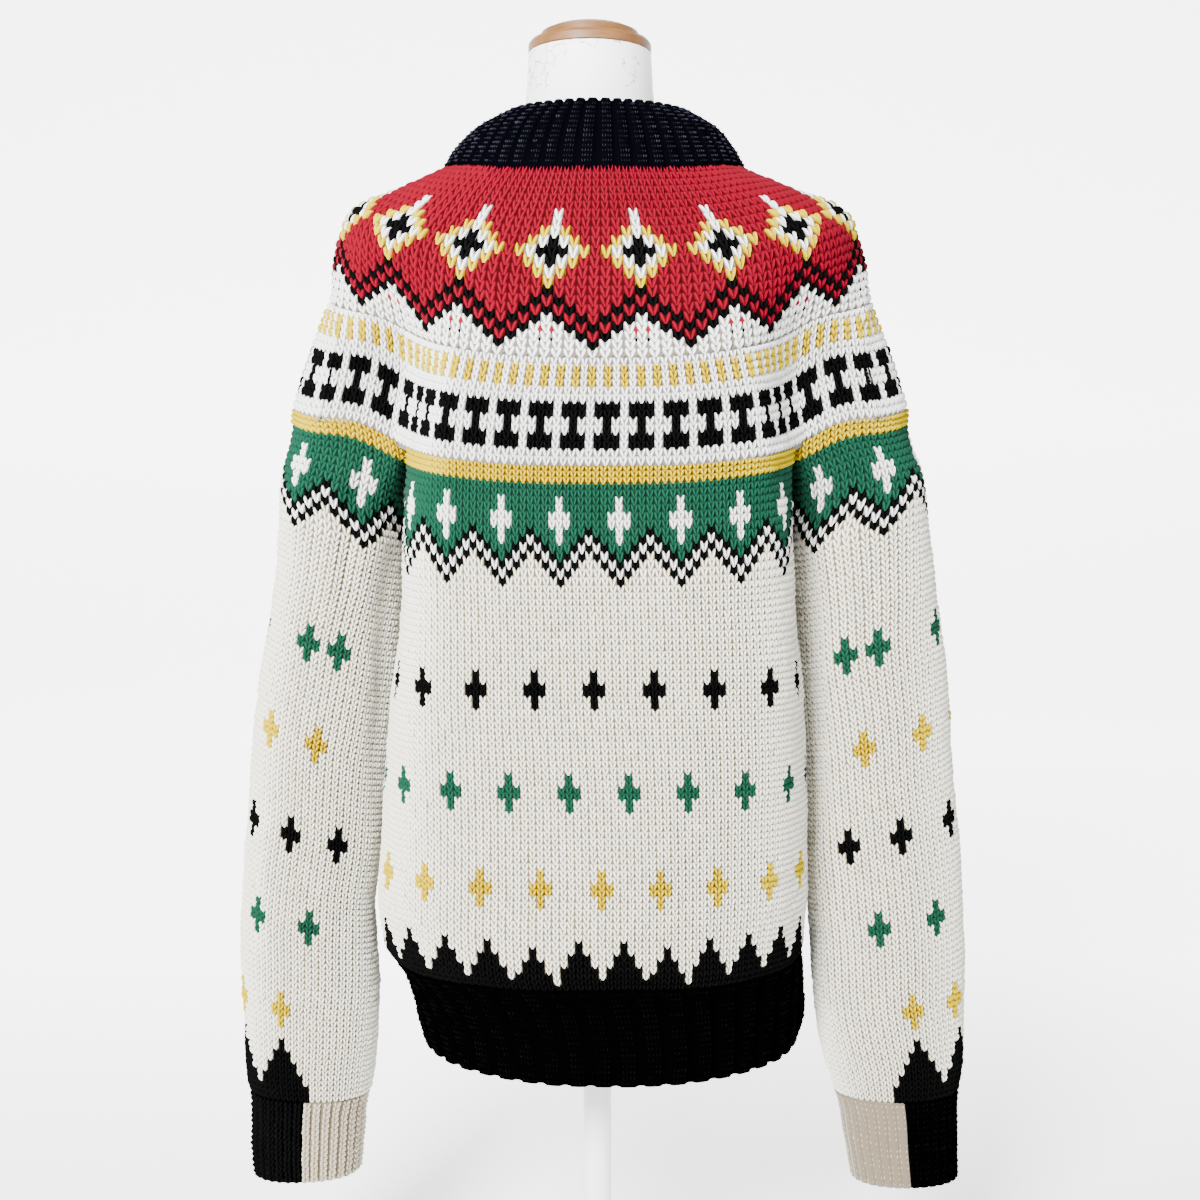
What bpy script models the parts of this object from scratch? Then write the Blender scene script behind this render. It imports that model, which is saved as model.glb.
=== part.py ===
"""Nordic round-yoke sweater on a limbless dress form with a pole stand.

Metres, +Z up. The garment's front faces -Y and its back faces +Y. +X is the wearer's left.
The origin is the middle of the underside of the stand's base.
Every knitted piece is a thin wall. Its outer surface is worked out ring by ring from the tables
below, and its inner surface is the same ring moved in by the wall's thickness.
"""

import math

import bmesh
import bpy
import numpy as np

for old in list(bpy.data.objects):
    bpy.data.objects.remove(old, do_unlink=True)

# Sizes that drive the whole model

WALL = 0.003  # thickness of the knitted cloth
RIB_WALL = 0.0035  # thickness of the ribbed bands under their ribs
RIB_RISE = 0.0016  # how far a rib stands out
GAP = 0.0003  # clearance between neighbouring pieces
SEAM = 0.0010  # clearance between pieces that follow each other down the garment
LAST_ROW = 36.0  # the knit row at which the yoke ends and body and sleeves begin
SPLIT_X = 0.1385  # the body's side at that row
ARM_X = 0.1418  # the sleeve's inner side at that row
TOP_Z = 0.6793  # height of that row at the middle of the back
TOP_RISE = 0.0429  # how much higher it is at the outer side of the sleeve
TOP_W = 0.231  # half the garment's width there
BODY_END = 0.3140  # height of the body's lower edge at the middle of the back
SLEEVE_TOP = 0.7083  # height of the middle of a sleeve's top ring
SLEEVE_END = 0.193  # height of the middle of a sleeve's last ring
NECK_X = 0.0075  # the neck stands a little off the middle

# Yoke: knit row, outer side, middle of the back, middle of the front, sideways shift

YOKE_COLUMNS = ("row", "out_x", "out_z", "back_y", "back_z", "front_y", "front_z", "shift")
YOKE = np.array([
    (0.0, 0.1110, 0.8968, 0.0880, 0.8855, 0.0860, 0.8760, 0.0045),
    (3.0, 0.1300, 0.8895, 0.0960, 0.8700, 0.0945, 0.8620, 0.0040),
    (6.0, 0.1500, 0.8815, 0.1030, 0.8535, 0.1020, 0.8470, 0.0030),
    (10.0, 0.1785, 0.8695, 0.1120, 0.8275, 0.1105, 0.8225, 0.0020),
    (12.0, 0.1885, 0.8595, 0.1163, 0.8135, 0.1140, 0.8100, 0.0015),
    (14.0, 0.1925, 0.8460, 0.1200, 0.7995, 0.1165, 0.7960, 0.0010),
    (21.0, 0.2010, 0.8065, 0.1270, 0.7573, 0.1205, 0.7550, 0.0000),
    (28.0, 0.2160, 0.7680, 0.1290, 0.7215, 0.1210, 0.7200, 0.0000),
    (36.0, 0.2310, 0.7222, 0.1275, 0.6793, 0.1190, 0.6793, 0.0000),
])

# Yoke's last ring from the middle of back or front to the outer side: a flat back, a ramp down
# to the fold beside the body, and the sleeve's face

LAST_COLUMNS = ("share", "x", "back_y", "front_y")
LAST = np.array([
    (0.0000, 0.0000, 0.1275, 0.1190),
    (0.1700, 0.0550, 0.1265, 0.1180),
    (0.3465, 0.1100, 0.1165, 0.1075),
    (0.4235, 0.1260, 0.0965, 0.0880),
    (0.5000, 0.1385, 0.0700, 0.0620),
    (0.5775, 0.1540, 0.0520, 0.0450),
    (0.6545, 0.1790, 0.0530, 0.0460),
    (0.7700, 0.2010, 0.0480, 0.0420),
    (0.9000, 0.2240, 0.0270, 0.0200),
    (1.0000, 0.2310, 0.0030, -0.0030),
])

# Where the seam between front and back yoke runs: share of the way from the middle of the back
# to the outer side. It lies on the shoulder and then slips to the back of the sleeve

SEAM_COLUMNS = ("row", "share")
SEAM_LINE = np.array([(0.0, 1.0), (10.0, 1.0), (14.0, 0.985), (21.0, 0.86), (28.0, 0.78), (36.0, 0.77)])

# Body and hem: height, half width, back, front, squareness of the section, sideways shift

BODY_COLUMNS = ("z", "half_x", "back_y", "front_y", "square", "shift")
BODY = np.array([
    (0.6793, 0.1385, 0.1275, 0.1190, 4.5, 0.0000),
    (0.6500, 0.1395, 0.1272, 0.1205, 4.4, 0.0010),
    (0.6300, 0.1410, 0.1268, 0.1212, 4.3, 0.0012),
    (0.5700, 0.1435, 0.1255, 0.1195, 4.0, 0.0010),
    (0.5000, 0.1505, 0.1240, 0.1150, 3.6, 0.0020),
    (0.4500, 0.1540, 0.1242, 0.1140, 3.3, 0.0030),
    (0.3860, 0.1575, 0.1262, 0.1155, 3.0, 0.0045),
    (0.3450, 0.1595, 0.1300, 0.1200, 2.8, 0.0055),
    (0.3260, 0.1595, 0.1308, 0.1208, 2.7, 0.0050),
    (0.3140, 0.1560, 0.1265, 0.1170, 2.6, 0.0030),
])
HEM = np.array([
    (0.3136, 0.1553, 0.1258, 0.1163, 2.6, 0.0028),
    (0.3000, 0.1512, 0.1202, 0.1120, 2.4, -0.0020),
    (0.2800, 0.1492, 0.1168, 0.1088, 2.2, -0.0060),
    (0.2600, 0.1478, 0.1155, 0.1075, 2.1, -0.0085),
    (0.2410, 0.1425, 0.1140, 0.1060, 2.1, -0.0085),
])

# Sleeves: height of the ring's middle, how much higher its outer side is, outer and inner side,
# back, front, squareness of the section. Each sleeve hangs in its own way

SLEEVE_COLUMNS = ("z", "tilt", "out_x", "in_x", "back_y", "front_y", "square")
SLEEVE_LEFT = np.array([
    (0.7083, 0.028, 0.2310, 0.1418, 0.052, 0.046, 2.4),
    (0.6800, 0.029, 0.2375, 0.1432, 0.051, 0.045, 2.4),
    (0.6500, 0.030, 0.2398, 0.1462, 0.050, 0.044, 2.4),
    (0.6000, 0.030, 0.2435, 0.1482, 0.048, 0.042, 2.3),
    (0.5500, 0.031, 0.2500, 0.1535, 0.045, 0.041, 2.3),
    (0.5000, 0.031, 0.2585, 0.1590, 0.043, 0.040, 2.2),
    (0.4500, 0.030, 0.2645, 0.1645, 0.042, 0.039, 2.2),
    (0.4000, 0.028, 0.2690, 0.1700, 0.040, 0.038, 2.2),
    (0.3500, 0.023, 0.2742, 0.1758, 0.038, 0.037, 2.2),
    (0.3200, 0.020, 0.2772, 0.1748, 0.037, 0.036, 2.2),
    (0.2900, 0.017, 0.2775, 0.1730, 0.036, 0.036, 2.2),
    (0.2500, 0.012, 0.2766, 0.1760, 0.035, 0.035, 2.2),
    (0.2150, 0.006, 0.2758, 0.1780, 0.034, 0.033, 2.2),
    (0.1930, 0.002, 0.2735, 0.1810, 0.031, 0.030, 2.2),
])
SLEEVE_RIGHT = np.array([
    (0.7083, 0.028, 0.2310, 0.1418, 0.052, 0.046, 2.4),
    (0.6800, 0.029, 0.2410, 0.1425, 0.051, 0.045, 2.4),
    (0.6500, 0.030, 0.2440, 0.1440, 0.050, 0.044, 2.4),
    (0.6000, 0.030, 0.2505, 0.1460, 0.048, 0.042, 2.3),
    (0.5500, 0.031, 0.2575, 0.1490, 0.045, 0.041, 2.3),
    (0.5000, 0.031, 0.2640, 0.1530, 0.043, 0.040, 2.2),
    (0.4500, 0.030, 0.2670, 0.1560, 0.042, 0.039, 2.2),
    (0.4000, 0.028, 0.2730, 0.1590, 0.041, 0.038, 2.2),
    (0.3500, 0.023, 0.2780, 0.1622, 0.040, 0.037, 2.2),
    (0.3200, 0.020, 0.2802, 0.1650, 0.039, 0.037, 2.2),
    (0.2900, 0.017, 0.2818, 0.1665, 0.038, 0.036, 2.2),
    (0.2500, 0.012, 0.2832, 0.1725, 0.036, 0.035, 2.2),
    (0.2150, 0.006, 0.2830, 0.1785, 0.034, 0.033, 2.2),
    (0.1930, 0.002, 0.2805, 0.1845, 0.031, 0.030, 2.2),
])
CUFF_LEFT = np.array([
    (0.1926, 0.002, 0.2728, 0.1818, 0.0305, 0.0295, 2.2),
    (0.1800, 0.001, 0.2718, 0.1850, 0.0290, 0.0275, 2.2),
    (0.1550, 0.000, 0.2718, 0.1872, 0.0285, 0.0265, 2.2),
    (0.1270, -0.002, 0.2705, 0.1900, 0.0270, 0.0250, 2.2),
])
CUFF_RIGHT = np.array([
    (0.1926, 0.002, 0.2798, 0.1852, 0.0305, 0.0295, 2.2),
    (0.1800, 0.001, 0.2790, 0.1895, 0.0290, 0.0275, 2.2),
    (0.1550, 0.000, 0.2790, 0.1935, 0.0285, 0.0265, 2.2),
    (0.1240, 0.002, 0.2795, 0.1995, 0.0270, 0.0250, 2.2),
])

# Collar: share of its height, half width, back, front, heights at side, back and front, shift

COLLAR_COLUMNS = ("share", "half_x", "back_y", "front_y", "side_z", "back_z", "front_z", "shift")
COLLAR = np.array([
    (0.00, 0.1104, 0.0875, 0.0855, 0.8974, 0.8862, 0.8767, 0.0045),
    (0.35, 0.1010, 0.0812, 0.0790, 0.9112, 0.9035, 0.8930, 0.0040),
    (0.70, 0.0880, 0.0735, 0.0712, 0.9245, 0.9210, 0.9100, 0.0030),
    (1.00, 0.0700, 0.0640, 0.0620, 0.9330, 0.9350, 0.9240, 0.0020),
])

# Soft folds: piece, share round the piece, upper and lower end, width, height of the ridge

FOLD_COLUMNS = ("around", "top_z", "low_z", "width", "rise", "drift")
BODY_FOLDS = np.array([
    (0.130, 0.640, 0.340, 0.030, 0.0030, 0.030),
    (0.205, 0.600, 0.330, 0.022, 0.0028, -0.010),
    (0.300, 0.620, 0.330, 0.026, -0.0028, 0.010),
    (0.420, 0.560, 0.330, 0.035, 0.0026, 0.020),
    (0.560, 0.600, 0.335, 0.030, 0.0028, -0.015),
    (0.700, 0.610, 0.335, 0.028, -0.0030, -0.010),
    (0.795, 0.600, 0.330, 0.022, 0.0028, 0.012),
    (0.880, 0.620, 0.340, 0.032, 0.0028, -0.020),
    (0.960, 0.480, 0.330, 0.040, 0.0022, 0.010),
])
SLEEVE_FOLDS = np.array([
    (0.195, 0.705, 0.230, 0.028, 0.0026, 0.045),
    (0.330, 0.640, 0.240, 0.040, -0.0030, -0.030),
    (0.440, 0.600, 0.215, 0.045, 0.0030, -0.040),
    (0.620, 0.660, 0.260, 0.050, -0.0034, 0.050),
    (0.760, 0.600, 0.230, 0.045, 0.0030, 0.030),
    (0.900, 0.560, 0.260, 0.050, 0.0022, -0.030),
])

# Dress form: height, half width, back, front, squareness, sideways shift

FORM = np.array([
    (0.3000, 0.1180, 0.0930, 0.0880, 2.2, 0.0020),
    (0.3040, 0.1250, 0.1000, 0.0930, 2.2, 0.0020),
    (0.3150, 0.1310, 0.1050, 0.0980, 2.2, 0.0020),
    (0.3600, 0.1360, 0.1110, 0.1030, 2.2, 0.0020),
    (0.4200, 0.1290, 0.1040, 0.0950, 2.2, 0.0020),
    (0.4800, 0.1170, 0.0930, 0.0880, 2.2, 0.0020),
    (0.5400, 0.1170, 0.0950, 0.0920, 2.2, 0.0020),
    (0.6000, 0.1230, 0.1040, 0.1030, 2.2, 0.0020),
    (0.6500, 0.1270, 0.1120, 0.1110, 2.2, 0.0015),
    (0.7000, 0.1290, 0.1160, 0.1080, 2.3, 0.0010),
    (0.7400, 0.1340, 0.1160, 0.1030, 2.4, 0.0010),
    (0.7800, 0.1480, 0.1120, 0.0980, 2.3, 0.0010),
    (0.8150, 0.1690, 0.1010, 0.0900, 2.2, 0.0010),
    (0.8370, 0.1795, 0.0880, 0.0800, 2.1, 0.0012),
    (0.8500, 0.1832, 0.0780, 0.0720, 2.1, 0.0014),
    (0.8594, 0.1808, 0.0720, 0.0670, 2.1, 0.0015),
    (0.8663, 0.1730, 0.0680, 0.0640, 2.1, 0.0020),
    (0.8731, 0.1612, 0.0650, 0.0620, 2.1, 0.0024),
    (0.8809, 0.1420, 0.0620, 0.0590, 2.1, 0.0030),
    (0.8891, 0.1210, 0.0590, 0.0570, 2.1, 0.0040),
    (0.8979, 0.0990, 0.0560, 0.0540, 2.0, 0.0050),
    (0.9080, 0.0780, 0.0530, 0.0520, 2.0, 0.0065),
    (0.9195, 0.0610, 0.0500, 0.0500, 2.0, 0.0075),
    (0.9350, 0.0500, 0.0475, 0.0475, 2.0, 0.0075),
    (0.9550, 0.0470, 0.0465, 0.0465, 2.0, 0.0075),
    (0.9824, 0.0455, 0.0455, 0.0455, 2.0, 0.0075),
])

# Turned wooden cap, from its flat underside: height, radius

CAP = np.array([
    (0.9827, 0.0440),
    (0.9834, 0.0455),
    (0.9885, 0.0457),
    (0.9910, 0.0440),
    (0.9913, 0.0375),
    (0.9935, 0.0372),
    (0.9975, 0.0360),
    (1.0003, 0.0300),
    (1.0013, 0.0180),
])

POLE_R = 0.011
BASE_R = 0.140
BASE_H = 0.012
BOSS_R = 0.022
BOSS_TOP = 0.040

# How finely each piece is divided

COLLAR_RIBS = 44
HEM_RIBS = 46
CUFF_RIBS = 18
POINTS_PER_RIB = 3


def column(table, names, name):
    """One named column of a table."""
    return table[:, names.index(name)]


def smooth(t):
    """Zero below 0, one above 1, and a soft step between."""
    t = np.clip(t, 0.0, 1.0)
    return t * t * (3.0 - 2.0 * t)


def curve(xs, ys, x):
    """A smooth curve through a table's points, read at x. The points may run either way."""
    xs, ys, x = np.asarray(xs, float), np.asarray(ys, float), np.asarray(x, float)
    if xs[0] > xs[-1]:
        xs, ys = xs[::-1], ys[::-1]
    slope = np.diff(ys) / np.diff(xs)
    tangent = np.empty(len(xs))
    tangent[0], tangent[-1] = slope[0], slope[-1]
    same = slope[:-1] * slope[1:] > 0
    safe = np.where(same, slope[:-1] + slope[1:], 1.0)
    tangent[1:-1] = np.where(same, 2.0 * slope[:-1] * slope[1:] / safe, 0.0)
    x = np.clip(x, xs[0], xs[-1])
    i = np.clip(np.searchsorted(xs, x) - 1, 0, len(xs) - 2)
    h = xs[i + 1] - xs[i]
    t = (x - xs[i]) / h
    a = (1 + 2 * t) * (1 - t) ** 2 * ys[i] + t * (1 - t) ** 2 * h * tangent[i]
    b = t * t * (3 - 2 * t) * ys[i + 1] + t * t * (t - 1) * h * tangent[i + 1]
    return a + b


def read(table, names, name, x):
    """A named column of a table as a smooth curve over its first column."""
    return curve(table[:, 0], column(table, names, name), x)


def rise_share(x_share, lower):
    """How far up a yoke ring has climbed at a share of the way out to the side."""
    x_share = np.abs(x_share)
    bump = 0.25 * lower * np.exp(-(((x_share - 0.76) / 0.13) ** 2))
    return x_share ** 2.6 + bump


def yoke_point(q, row):
    """Yoke surface. q is 0 at the middle back, 1 at the wearer's left, 2 front, 3 right."""
    q, row = np.broadcast_arrays(np.asarray(q, float) % 4.0, np.asarray(row, float))
    side = np.where(q <= 2.0, 1.0, -1.0)
    from_back = np.minimum(q, 4.0 - q)
    back = from_back <= 1.0
    s = np.where(back, from_back, 2.0 - from_back)
    angle = 0.5 * math.pi * (0.85 * s + 0.15 * s ** 3)
    high_x = np.abs(np.sin(angle)) ** (2 / 2.15)
    high_y = np.abs(np.cos(angle)) ** (2 / 2.15)
    low_x = read(LAST, LAST_COLUMNS, "x", s) / TOP_W
    low_back = read(LAST, LAST_COLUMNS, "back_y", s) / LAST[0, 2]
    low_front = read(LAST, LAST_COLUMNS, "front_y", s) / LAST[0, 3]
    lower = smooth((row - 11.0) / 19.0)
    x_share = high_x + (low_x - high_x) * lower
    y_share = high_y + (np.where(back, low_back, low_front) - high_y) * lower
    out_x = read(YOKE, YOKE_COLUMNS, "out_x", row)
    out_z = read(YOKE, YOKE_COLUMNS, "out_z", row)
    deep = np.where(
        back,
        read(YOKE, YOKE_COLUMNS, "back_y", row),
        -read(YOKE, YOKE_COLUMNS, "front_y", row),
    )
    middle_z = np.where(
        back,
        read(YOKE, YOKE_COLUMNS, "back_z", row),
        read(YOKE, YOKE_COLUMNS, "front_z", row),
    )
    x = read(YOKE, YOKE_COLUMNS, "shift", row) + side * out_x * x_share
    z = middle_z + (out_z - middle_z) * rise_share(x_share, lower)
    return np.stack([x, deep * y_share, z], axis=-1)


def seam_share(row):
    """Where the seam between the yoke's back and front lies at a row."""
    return read(SEAM_LINE, SEAM_COLUMNS, "share", row)


def section(half_x, back_y, front_y, square, count=240):
    """A closed rounded outline: middle back, wearer's left, front, right, and back again."""
    angle = np.linspace(0.0, 2.0 * math.pi, count + 1)
    s, c = np.sin(angle), np.cos(angle)
    x = half_x * np.sign(s) * np.abs(s) ** (2.0 / square)
    y = np.where(c > 0, back_y, front_y) * np.sign(c) * np.abs(c) ** (2.0 / square)
    return np.stack([x, y], axis=-1)


def along(line, shares):
    """Points at shares of an open line's length."""
    step = np.concatenate([[0.0], np.cumsum(np.linalg.norm(np.diff(line, axis=0), axis=1))])
    at = np.asarray(shares, float) * step[-1]
    return np.stack([np.interp(at, step, line[:, k]) for k in range(line.shape[1])], axis=-1)


def quartered(outline, q, count=240):
    """Points of a closed outline at q, evenly spaced within each of its four quarters."""
    q = np.asarray(q, float) % 4.0
    part = count // 4
    found = np.zeros((len(q), 2))
    for i in range(4):
        here = (q >= i) & (q <= i + 1)
        found[here] = along(outline[i * part:(i + 1) * part + 1], q[here] - i)
    return found


def soften(line, rounds):
    """An open line with its corners rounded and its ends kept."""
    line = line.copy()
    for _ in range(rounds):
        line[1:-1] = 0.25 * line[:-2] + 0.5 * line[1:-1] + 0.25 * line[2:]
    return line


def body_top(q):
    """Plan of the body where it leaves the yoke: the yoke's ring and a straight side."""
    q = np.asarray(q, float) % 4.0
    found = np.zeros((len(q), 2))
    reach = np.linspace(0.0, 0.498, 40)
    for i in range(4):
        base = (0.0, 2.0, 2.0, 4.0)[i]
        sign = (1.0, -1.0, 1.0, -1.0)[i]
        arc = yoke_point(base + sign * reach, LAST_ROW)[:, :2]
        edge = np.array([np.sign(arc[-1, 0]) * SPLIT_X, 0.0])
        side = arc[-1] + (edge - arc[-1]) * np.linspace(0.0, 1.0, 20)[1:, None]
        line = soften(np.concatenate([arc, side]), 12)
        here = (q >= i) & (q <= i + 1)
        t = q[here] - i
        found[here] = along(line, t if sign > 0 else 1.0 - t)
    return found


def folds(table, around, z, size):
    """Height of the soft folds at a share round the piece."""
    total = np.zeros_like(around)
    for at, top_z, low_z, width, rise, drift in table:
        middle = at + drift * (top_z - z) / (top_z - low_z)
        apart = (around - middle + 0.5) % 1.0 - 0.5
        ends = smooth((top_z - z) / 0.09) * smooth((z - low_z + 0.012) / 0.05)
        total = total + rise * ends * np.exp(-((apart * size / width) ** 2))
    return total


def outward(plan):
    """Unit directions pointing out of a closed plan that runs clockwise seen from above."""
    ahead = np.roll(plan, -1, axis=0) - np.roll(plan, 1, axis=0)
    out = np.stack([-ahead[:, 1], ahead[:, 0]], axis=-1)
    out /= np.maximum(np.linalg.norm(out, axis=1, keepdims=True), 1e-9)
    middle = plan.mean(axis=0)
    if ((plan - middle) * out).sum() < 0:
        out = -out
    return out


def body_ring(z, q):
    """Body surface at a height of the middle back, for every q round it."""
    if z > BODY_END - 0.00005:
        table = BODY
    else:
        table = HEM
    half_x, back_y, front_y, square, shift = [
        float(read(table, BODY_COLUMNS, n, z)) for n in BODY_COLUMNS[1:]
    ]
    plan = quartered(section(half_x, back_y, front_y, square), q)
    near_top = float(1.0 - smooth((TOP_Z - z) / 0.05))
    if near_top > 0:
        plan = plan + (body_top(q) - plan) * near_top
    if table is BODY:
        plan = plan + outward(plan) * folds(BODY_FOLDS, np.asarray(q) / 4.0, z, 0.9)[:, None]
    climb = TOP_RISE * rise_share(plan[:, 0] / TOP_W, 1.0)
    climb = climb * float(1.0 - smooth((TOP_Z - z) / 0.16))
    plan = plan + np.array([shift, 0.0])
    return np.column_stack([plan, z + climb])


def sleeve_top(p, side):
    """Plan of a sleeve where it leaves the yoke, p from its outer side round its back."""
    found = np.zeros((len(p), 2))
    for i in range(2):
        reach = np.linspace(1.0, 0.512, 40)
        q = reach if i == 0 else 2.0 - reach
        arc = yoke_point(q, LAST_ROW)[:, :2]
        edge = np.array([ARM_X, 0.003])
        inner = arc[-1] + (edge - arc[-1]) * np.linspace(0.0, 1.0, 20)[1:, None]
        line = soften(np.concatenate([arc, inner]), 26)
        here = (p <= 0.5) if i == 0 else (p > 0.5)
        share = 2.0 * p[here] if i == 0 else 2.0 * (1.0 - p[here])
        found[here] = along(line, share)
    found[:, 0] *= side
    return found


def sleeve_ring(z, p, side, tables=None):
    """Sleeve surface at a height of its ring's middle. side is 1 for the wearer's left."""
    sleeve, cuff = (SLEEVE_LEFT, CUFF_LEFT) if side > 0 else (SLEEVE_RIGHT, CUFF_RIGHT)
    table = sleeve if z > SLEEVE_END - 0.00005 else cuff
    p = np.asarray(p, float) % 1.0
    tilt, out_x, in_x, back_y, front_y, square = [
        float(read(table, SLEEVE_COLUMNS, n, z)) for n in SLEEVE_COLUMNS[1:]
    ]
    half, centre = 0.5 * (out_x - in_x), 0.5 * (out_x + in_x)
    outline = section(half, back_y, front_y, square)
    # The outline starts at its back and p starts at the outer side, so both are turned alike
    plan = quartered(outline, 1.0 - 4.0 * p)
    if table is sleeve:
        plan = plan + outward(plan) * folds(SLEEVE_FOLDS, p, z, 0.33)[:, None]
    height = z + tilt * plan[:, 0] / (out_x - in_x)
    plan = (plan + np.array([centre, 0.0])) * np.array([side, 1.0])
    near_top = float(1.0 - smooth((SLEEVE_TOP - z) / 0.06))
    if near_top > 0:
        top = sleeve_top(p, side)
        top_z = TOP_Z + TOP_RISE * rise_share(top[:, 0] / TOP_W, 1.0)
        plan = plan + (top - plan) * near_top
        height = height + (top_z - SLEEVE_TOP + z - height) * near_top
    return np.column_stack([plan, height])


def collar_ring(share, q):
    """Collar surface at a share of its height."""
    names = COLLAR_COLUMNS
    half_x, back_y, front_y, side_z, back_z, front_z, shift = [
        float(read(COLLAR, names, n, share)) for n in names[1:]
    ]
    q = np.asarray(q, float) % 4.0
    from_back = np.minimum(q, 4.0 - q)
    back = from_back <= 1.0
    s = np.where(back, from_back, 2.0 - from_back)
    angle = 0.5 * math.pi * (0.85 * s + 0.15 * s ** 3)
    x_share = np.abs(np.sin(angle)) ** (2 / 2.15)
    y_share = np.abs(np.cos(angle)) ** (2 / 2.15)
    x = shift + np.where(q <= 2.0, 1.0, -1.0) * half_x * x_share
    y = np.where(back, back_y, -front_y) * y_share
    middle_z = np.where(back, back_z, front_z)
    return np.column_stack([x, y, middle_z + (side_z - middle_z) * x_share ** 2.6])


def surface_normals(grid, closed):
    """Unit normals of a grid of points, turned away from the middle of each ring."""
    down = np.gradient(grid, axis=0)
    if closed:
        across = np.roll(grid, -1, axis=1) - np.roll(grid, 1, axis=1)
    else:
        across = np.gradient(grid, axis=1)
    normal = np.cross(across, down)
    normal /= np.maximum(np.linalg.norm(normal, axis=2, keepdims=True), 1e-12)
    return normal


def levelled(normal, rings):
    """The same normals with those of the named rings turned level, so that edges stay level."""
    normal = normal.copy()
    for i in rings:
        normal[i, :, 2] = 0.0
        normal[i] /= np.linalg.norm(normal[i], axis=1, keepdims=True)
    return normal


def wall(name, grid, normal, thickness, closed, extra=None):
    """A closed wall between a grid of outer points and the same points moved in."""
    inner = grid - normal * thickness
    outer = grid if extra is None else grid + normal * extra[..., None]
    rows, columns = grid.shape[:2]
    points = np.concatenate([outer.reshape(-1, 3), inner.reshape(-1, 3)])
    layer = rows * columns
    faces = []
    wide = columns if closed else columns - 1

    def at(i, j, inside):
        return layer * inside + i * columns + j % columns

    for i in range(rows - 1):
        for j in range(wide):
            faces.append((at(i, j, 0), at(i, j + 1, 0), at(i + 1, j + 1, 0), at(i + 1, j, 0)))
            faces.append((at(i, j, 1), at(i + 1, j, 1), at(i + 1, j + 1, 1), at(i, j + 1, 1)))
    for j in range(wide):
        faces.append((at(0, j, 0), at(0, j, 1), at(0, j + 1, 1), at(0, j + 1, 0)))
        last = rows - 1
        faces.append((at(last, j, 0), at(last, j + 1, 0), at(last, j + 1, 1), at(last, j, 1)))
    if not closed:
        for i in range(rows - 1):
            last = columns - 1
            faces.append((at(i, 0, 0), at(i + 1, 0, 0), at(i + 1, 0, 1), at(i, 0, 1)))
            faces.append((at(i, last, 0), at(i, last, 1), at(i + 1, last, 1), at(i + 1, last, 0)))
    return solid(name, points, faces)


def solid(name, points, faces):
    """An object from points and faces, with its faces turned outwards."""
    mesh = bpy.data.meshes.new(name)
    mesh.from_pydata([tuple(p) for p in points], [], faces)
    work = bmesh.new()
    work.from_mesh(mesh)
    bmesh.ops.recalc_face_normals(work, faces=work.faces)
    bmesh.ops.triangulate(work, faces=[f for f in work.faces if len(f.verts) == 4])
    work.to_mesh(mesh)
    work.free()
    mesh.shade_smooth()
    mesh.set_sharp_from_angle(angle=math.radians(50))
    made = bpy.data.objects.new(name, mesh)
    bpy.context.scene.collection.objects.link(made)
    return made


def lofted(name, rings):
    """A closed solid through rings, with a flat face at each end."""
    count = len(rings[0])
    points = np.concatenate(rings)
    faces = []
    for i in range(len(rings) - 1):
        for j in range(count):
            a, b = i * count + j, i * count + (j + 1) % count
            faces.append((a, b, b + count, a + count))
    faces.append(tuple(range(count)))
    last = (len(rings) - 1) * count
    faces.append(tuple(last + j for j in range(count)))
    return solid(name, points, faces)


def turned(name, profile, centre_x, count):
    """A solid turned about a vertical axis from heights and radii."""
    angle = np.linspace(0.0, 2.0 * math.pi, count, endpoint=False)
    rings = []
    for z, radius in profile:
        ring = [centre_x + radius * np.cos(angle), radius * np.sin(angle), np.full(count, z)]
        rings.append(np.column_stack(ring))
    return lofted(name, rings)


def material(name, colour, roughness, metallic=0.0):
    """A plain Principled material."""
    made = bpy.data.materials.new(name)
    made.use_nodes = True
    shader = made.node_tree.nodes["Principled BSDF"]
    shader.inputs["Base Color"].default_value = (*colour, 1.0)
    shader.inputs["Roughness"].default_value = roughness
    shader.inputs["Metallic"].default_value = metallic
    return made


def rib_profile(count):
    """Height of the ribs at each point round a band, two points up and one down per rib."""
    up = np.array([1.0, 1.0, 0.0])
    return RIB_RISE * np.tile(up, count)


# Yoke, in a back and a front that meet along the shoulder and the back of the sleeve

YOKE_TRIM = 0.0022  # how far each side edge stays off the seam, as a share of a quarter turn
YOKE_ROWS = np.array([0.0, 3.0, 6.0, 9.0, 11.0, 12.5, 14.5, 18.0, 22.0, 27.0, 31.5, LAST_ROW])


def yoke_normal(q, row):
    """Unit normals of the yoke's surface, pointing out."""
    across = yoke_point(q + 0.01, row) - yoke_point(q - 0.01, row)
    down = yoke_point(q, min(row + 0.3, LAST_ROW)) - yoke_point(q, max(row - 0.3, 0.0))
    normal = np.cross(across, down)
    return normal / np.linalg.norm(normal, axis=1, keepdims=True)


def yoke_piece(name, columns, front):
    """The yoke's back or front between its two seams."""
    grid, normal = [], []
    for row in YOKE_ROWS:
        seam = float(seam_share(row))
        start, end = (seam, 4.0 - seam) if front else (-seam, seam)
        trim = YOKE_TRIM if row > 12.0 else 1.5 * YOKE_TRIM
        q = np.linspace(start + trim, end - trim, columns)
        grid.append(yoke_point(q, row))
        normal.append(yoke_normal(q, row))
    return wall(name, np.array(grid), levelled(np.array(normal), [-1]), WALL, False)


yoke_back = yoke_piece("yoke_back", 29, False)
yoke_front = yoke_piece("yoke_front", 37, True)

# Body, in a back and a front that meet at the sides

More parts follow.
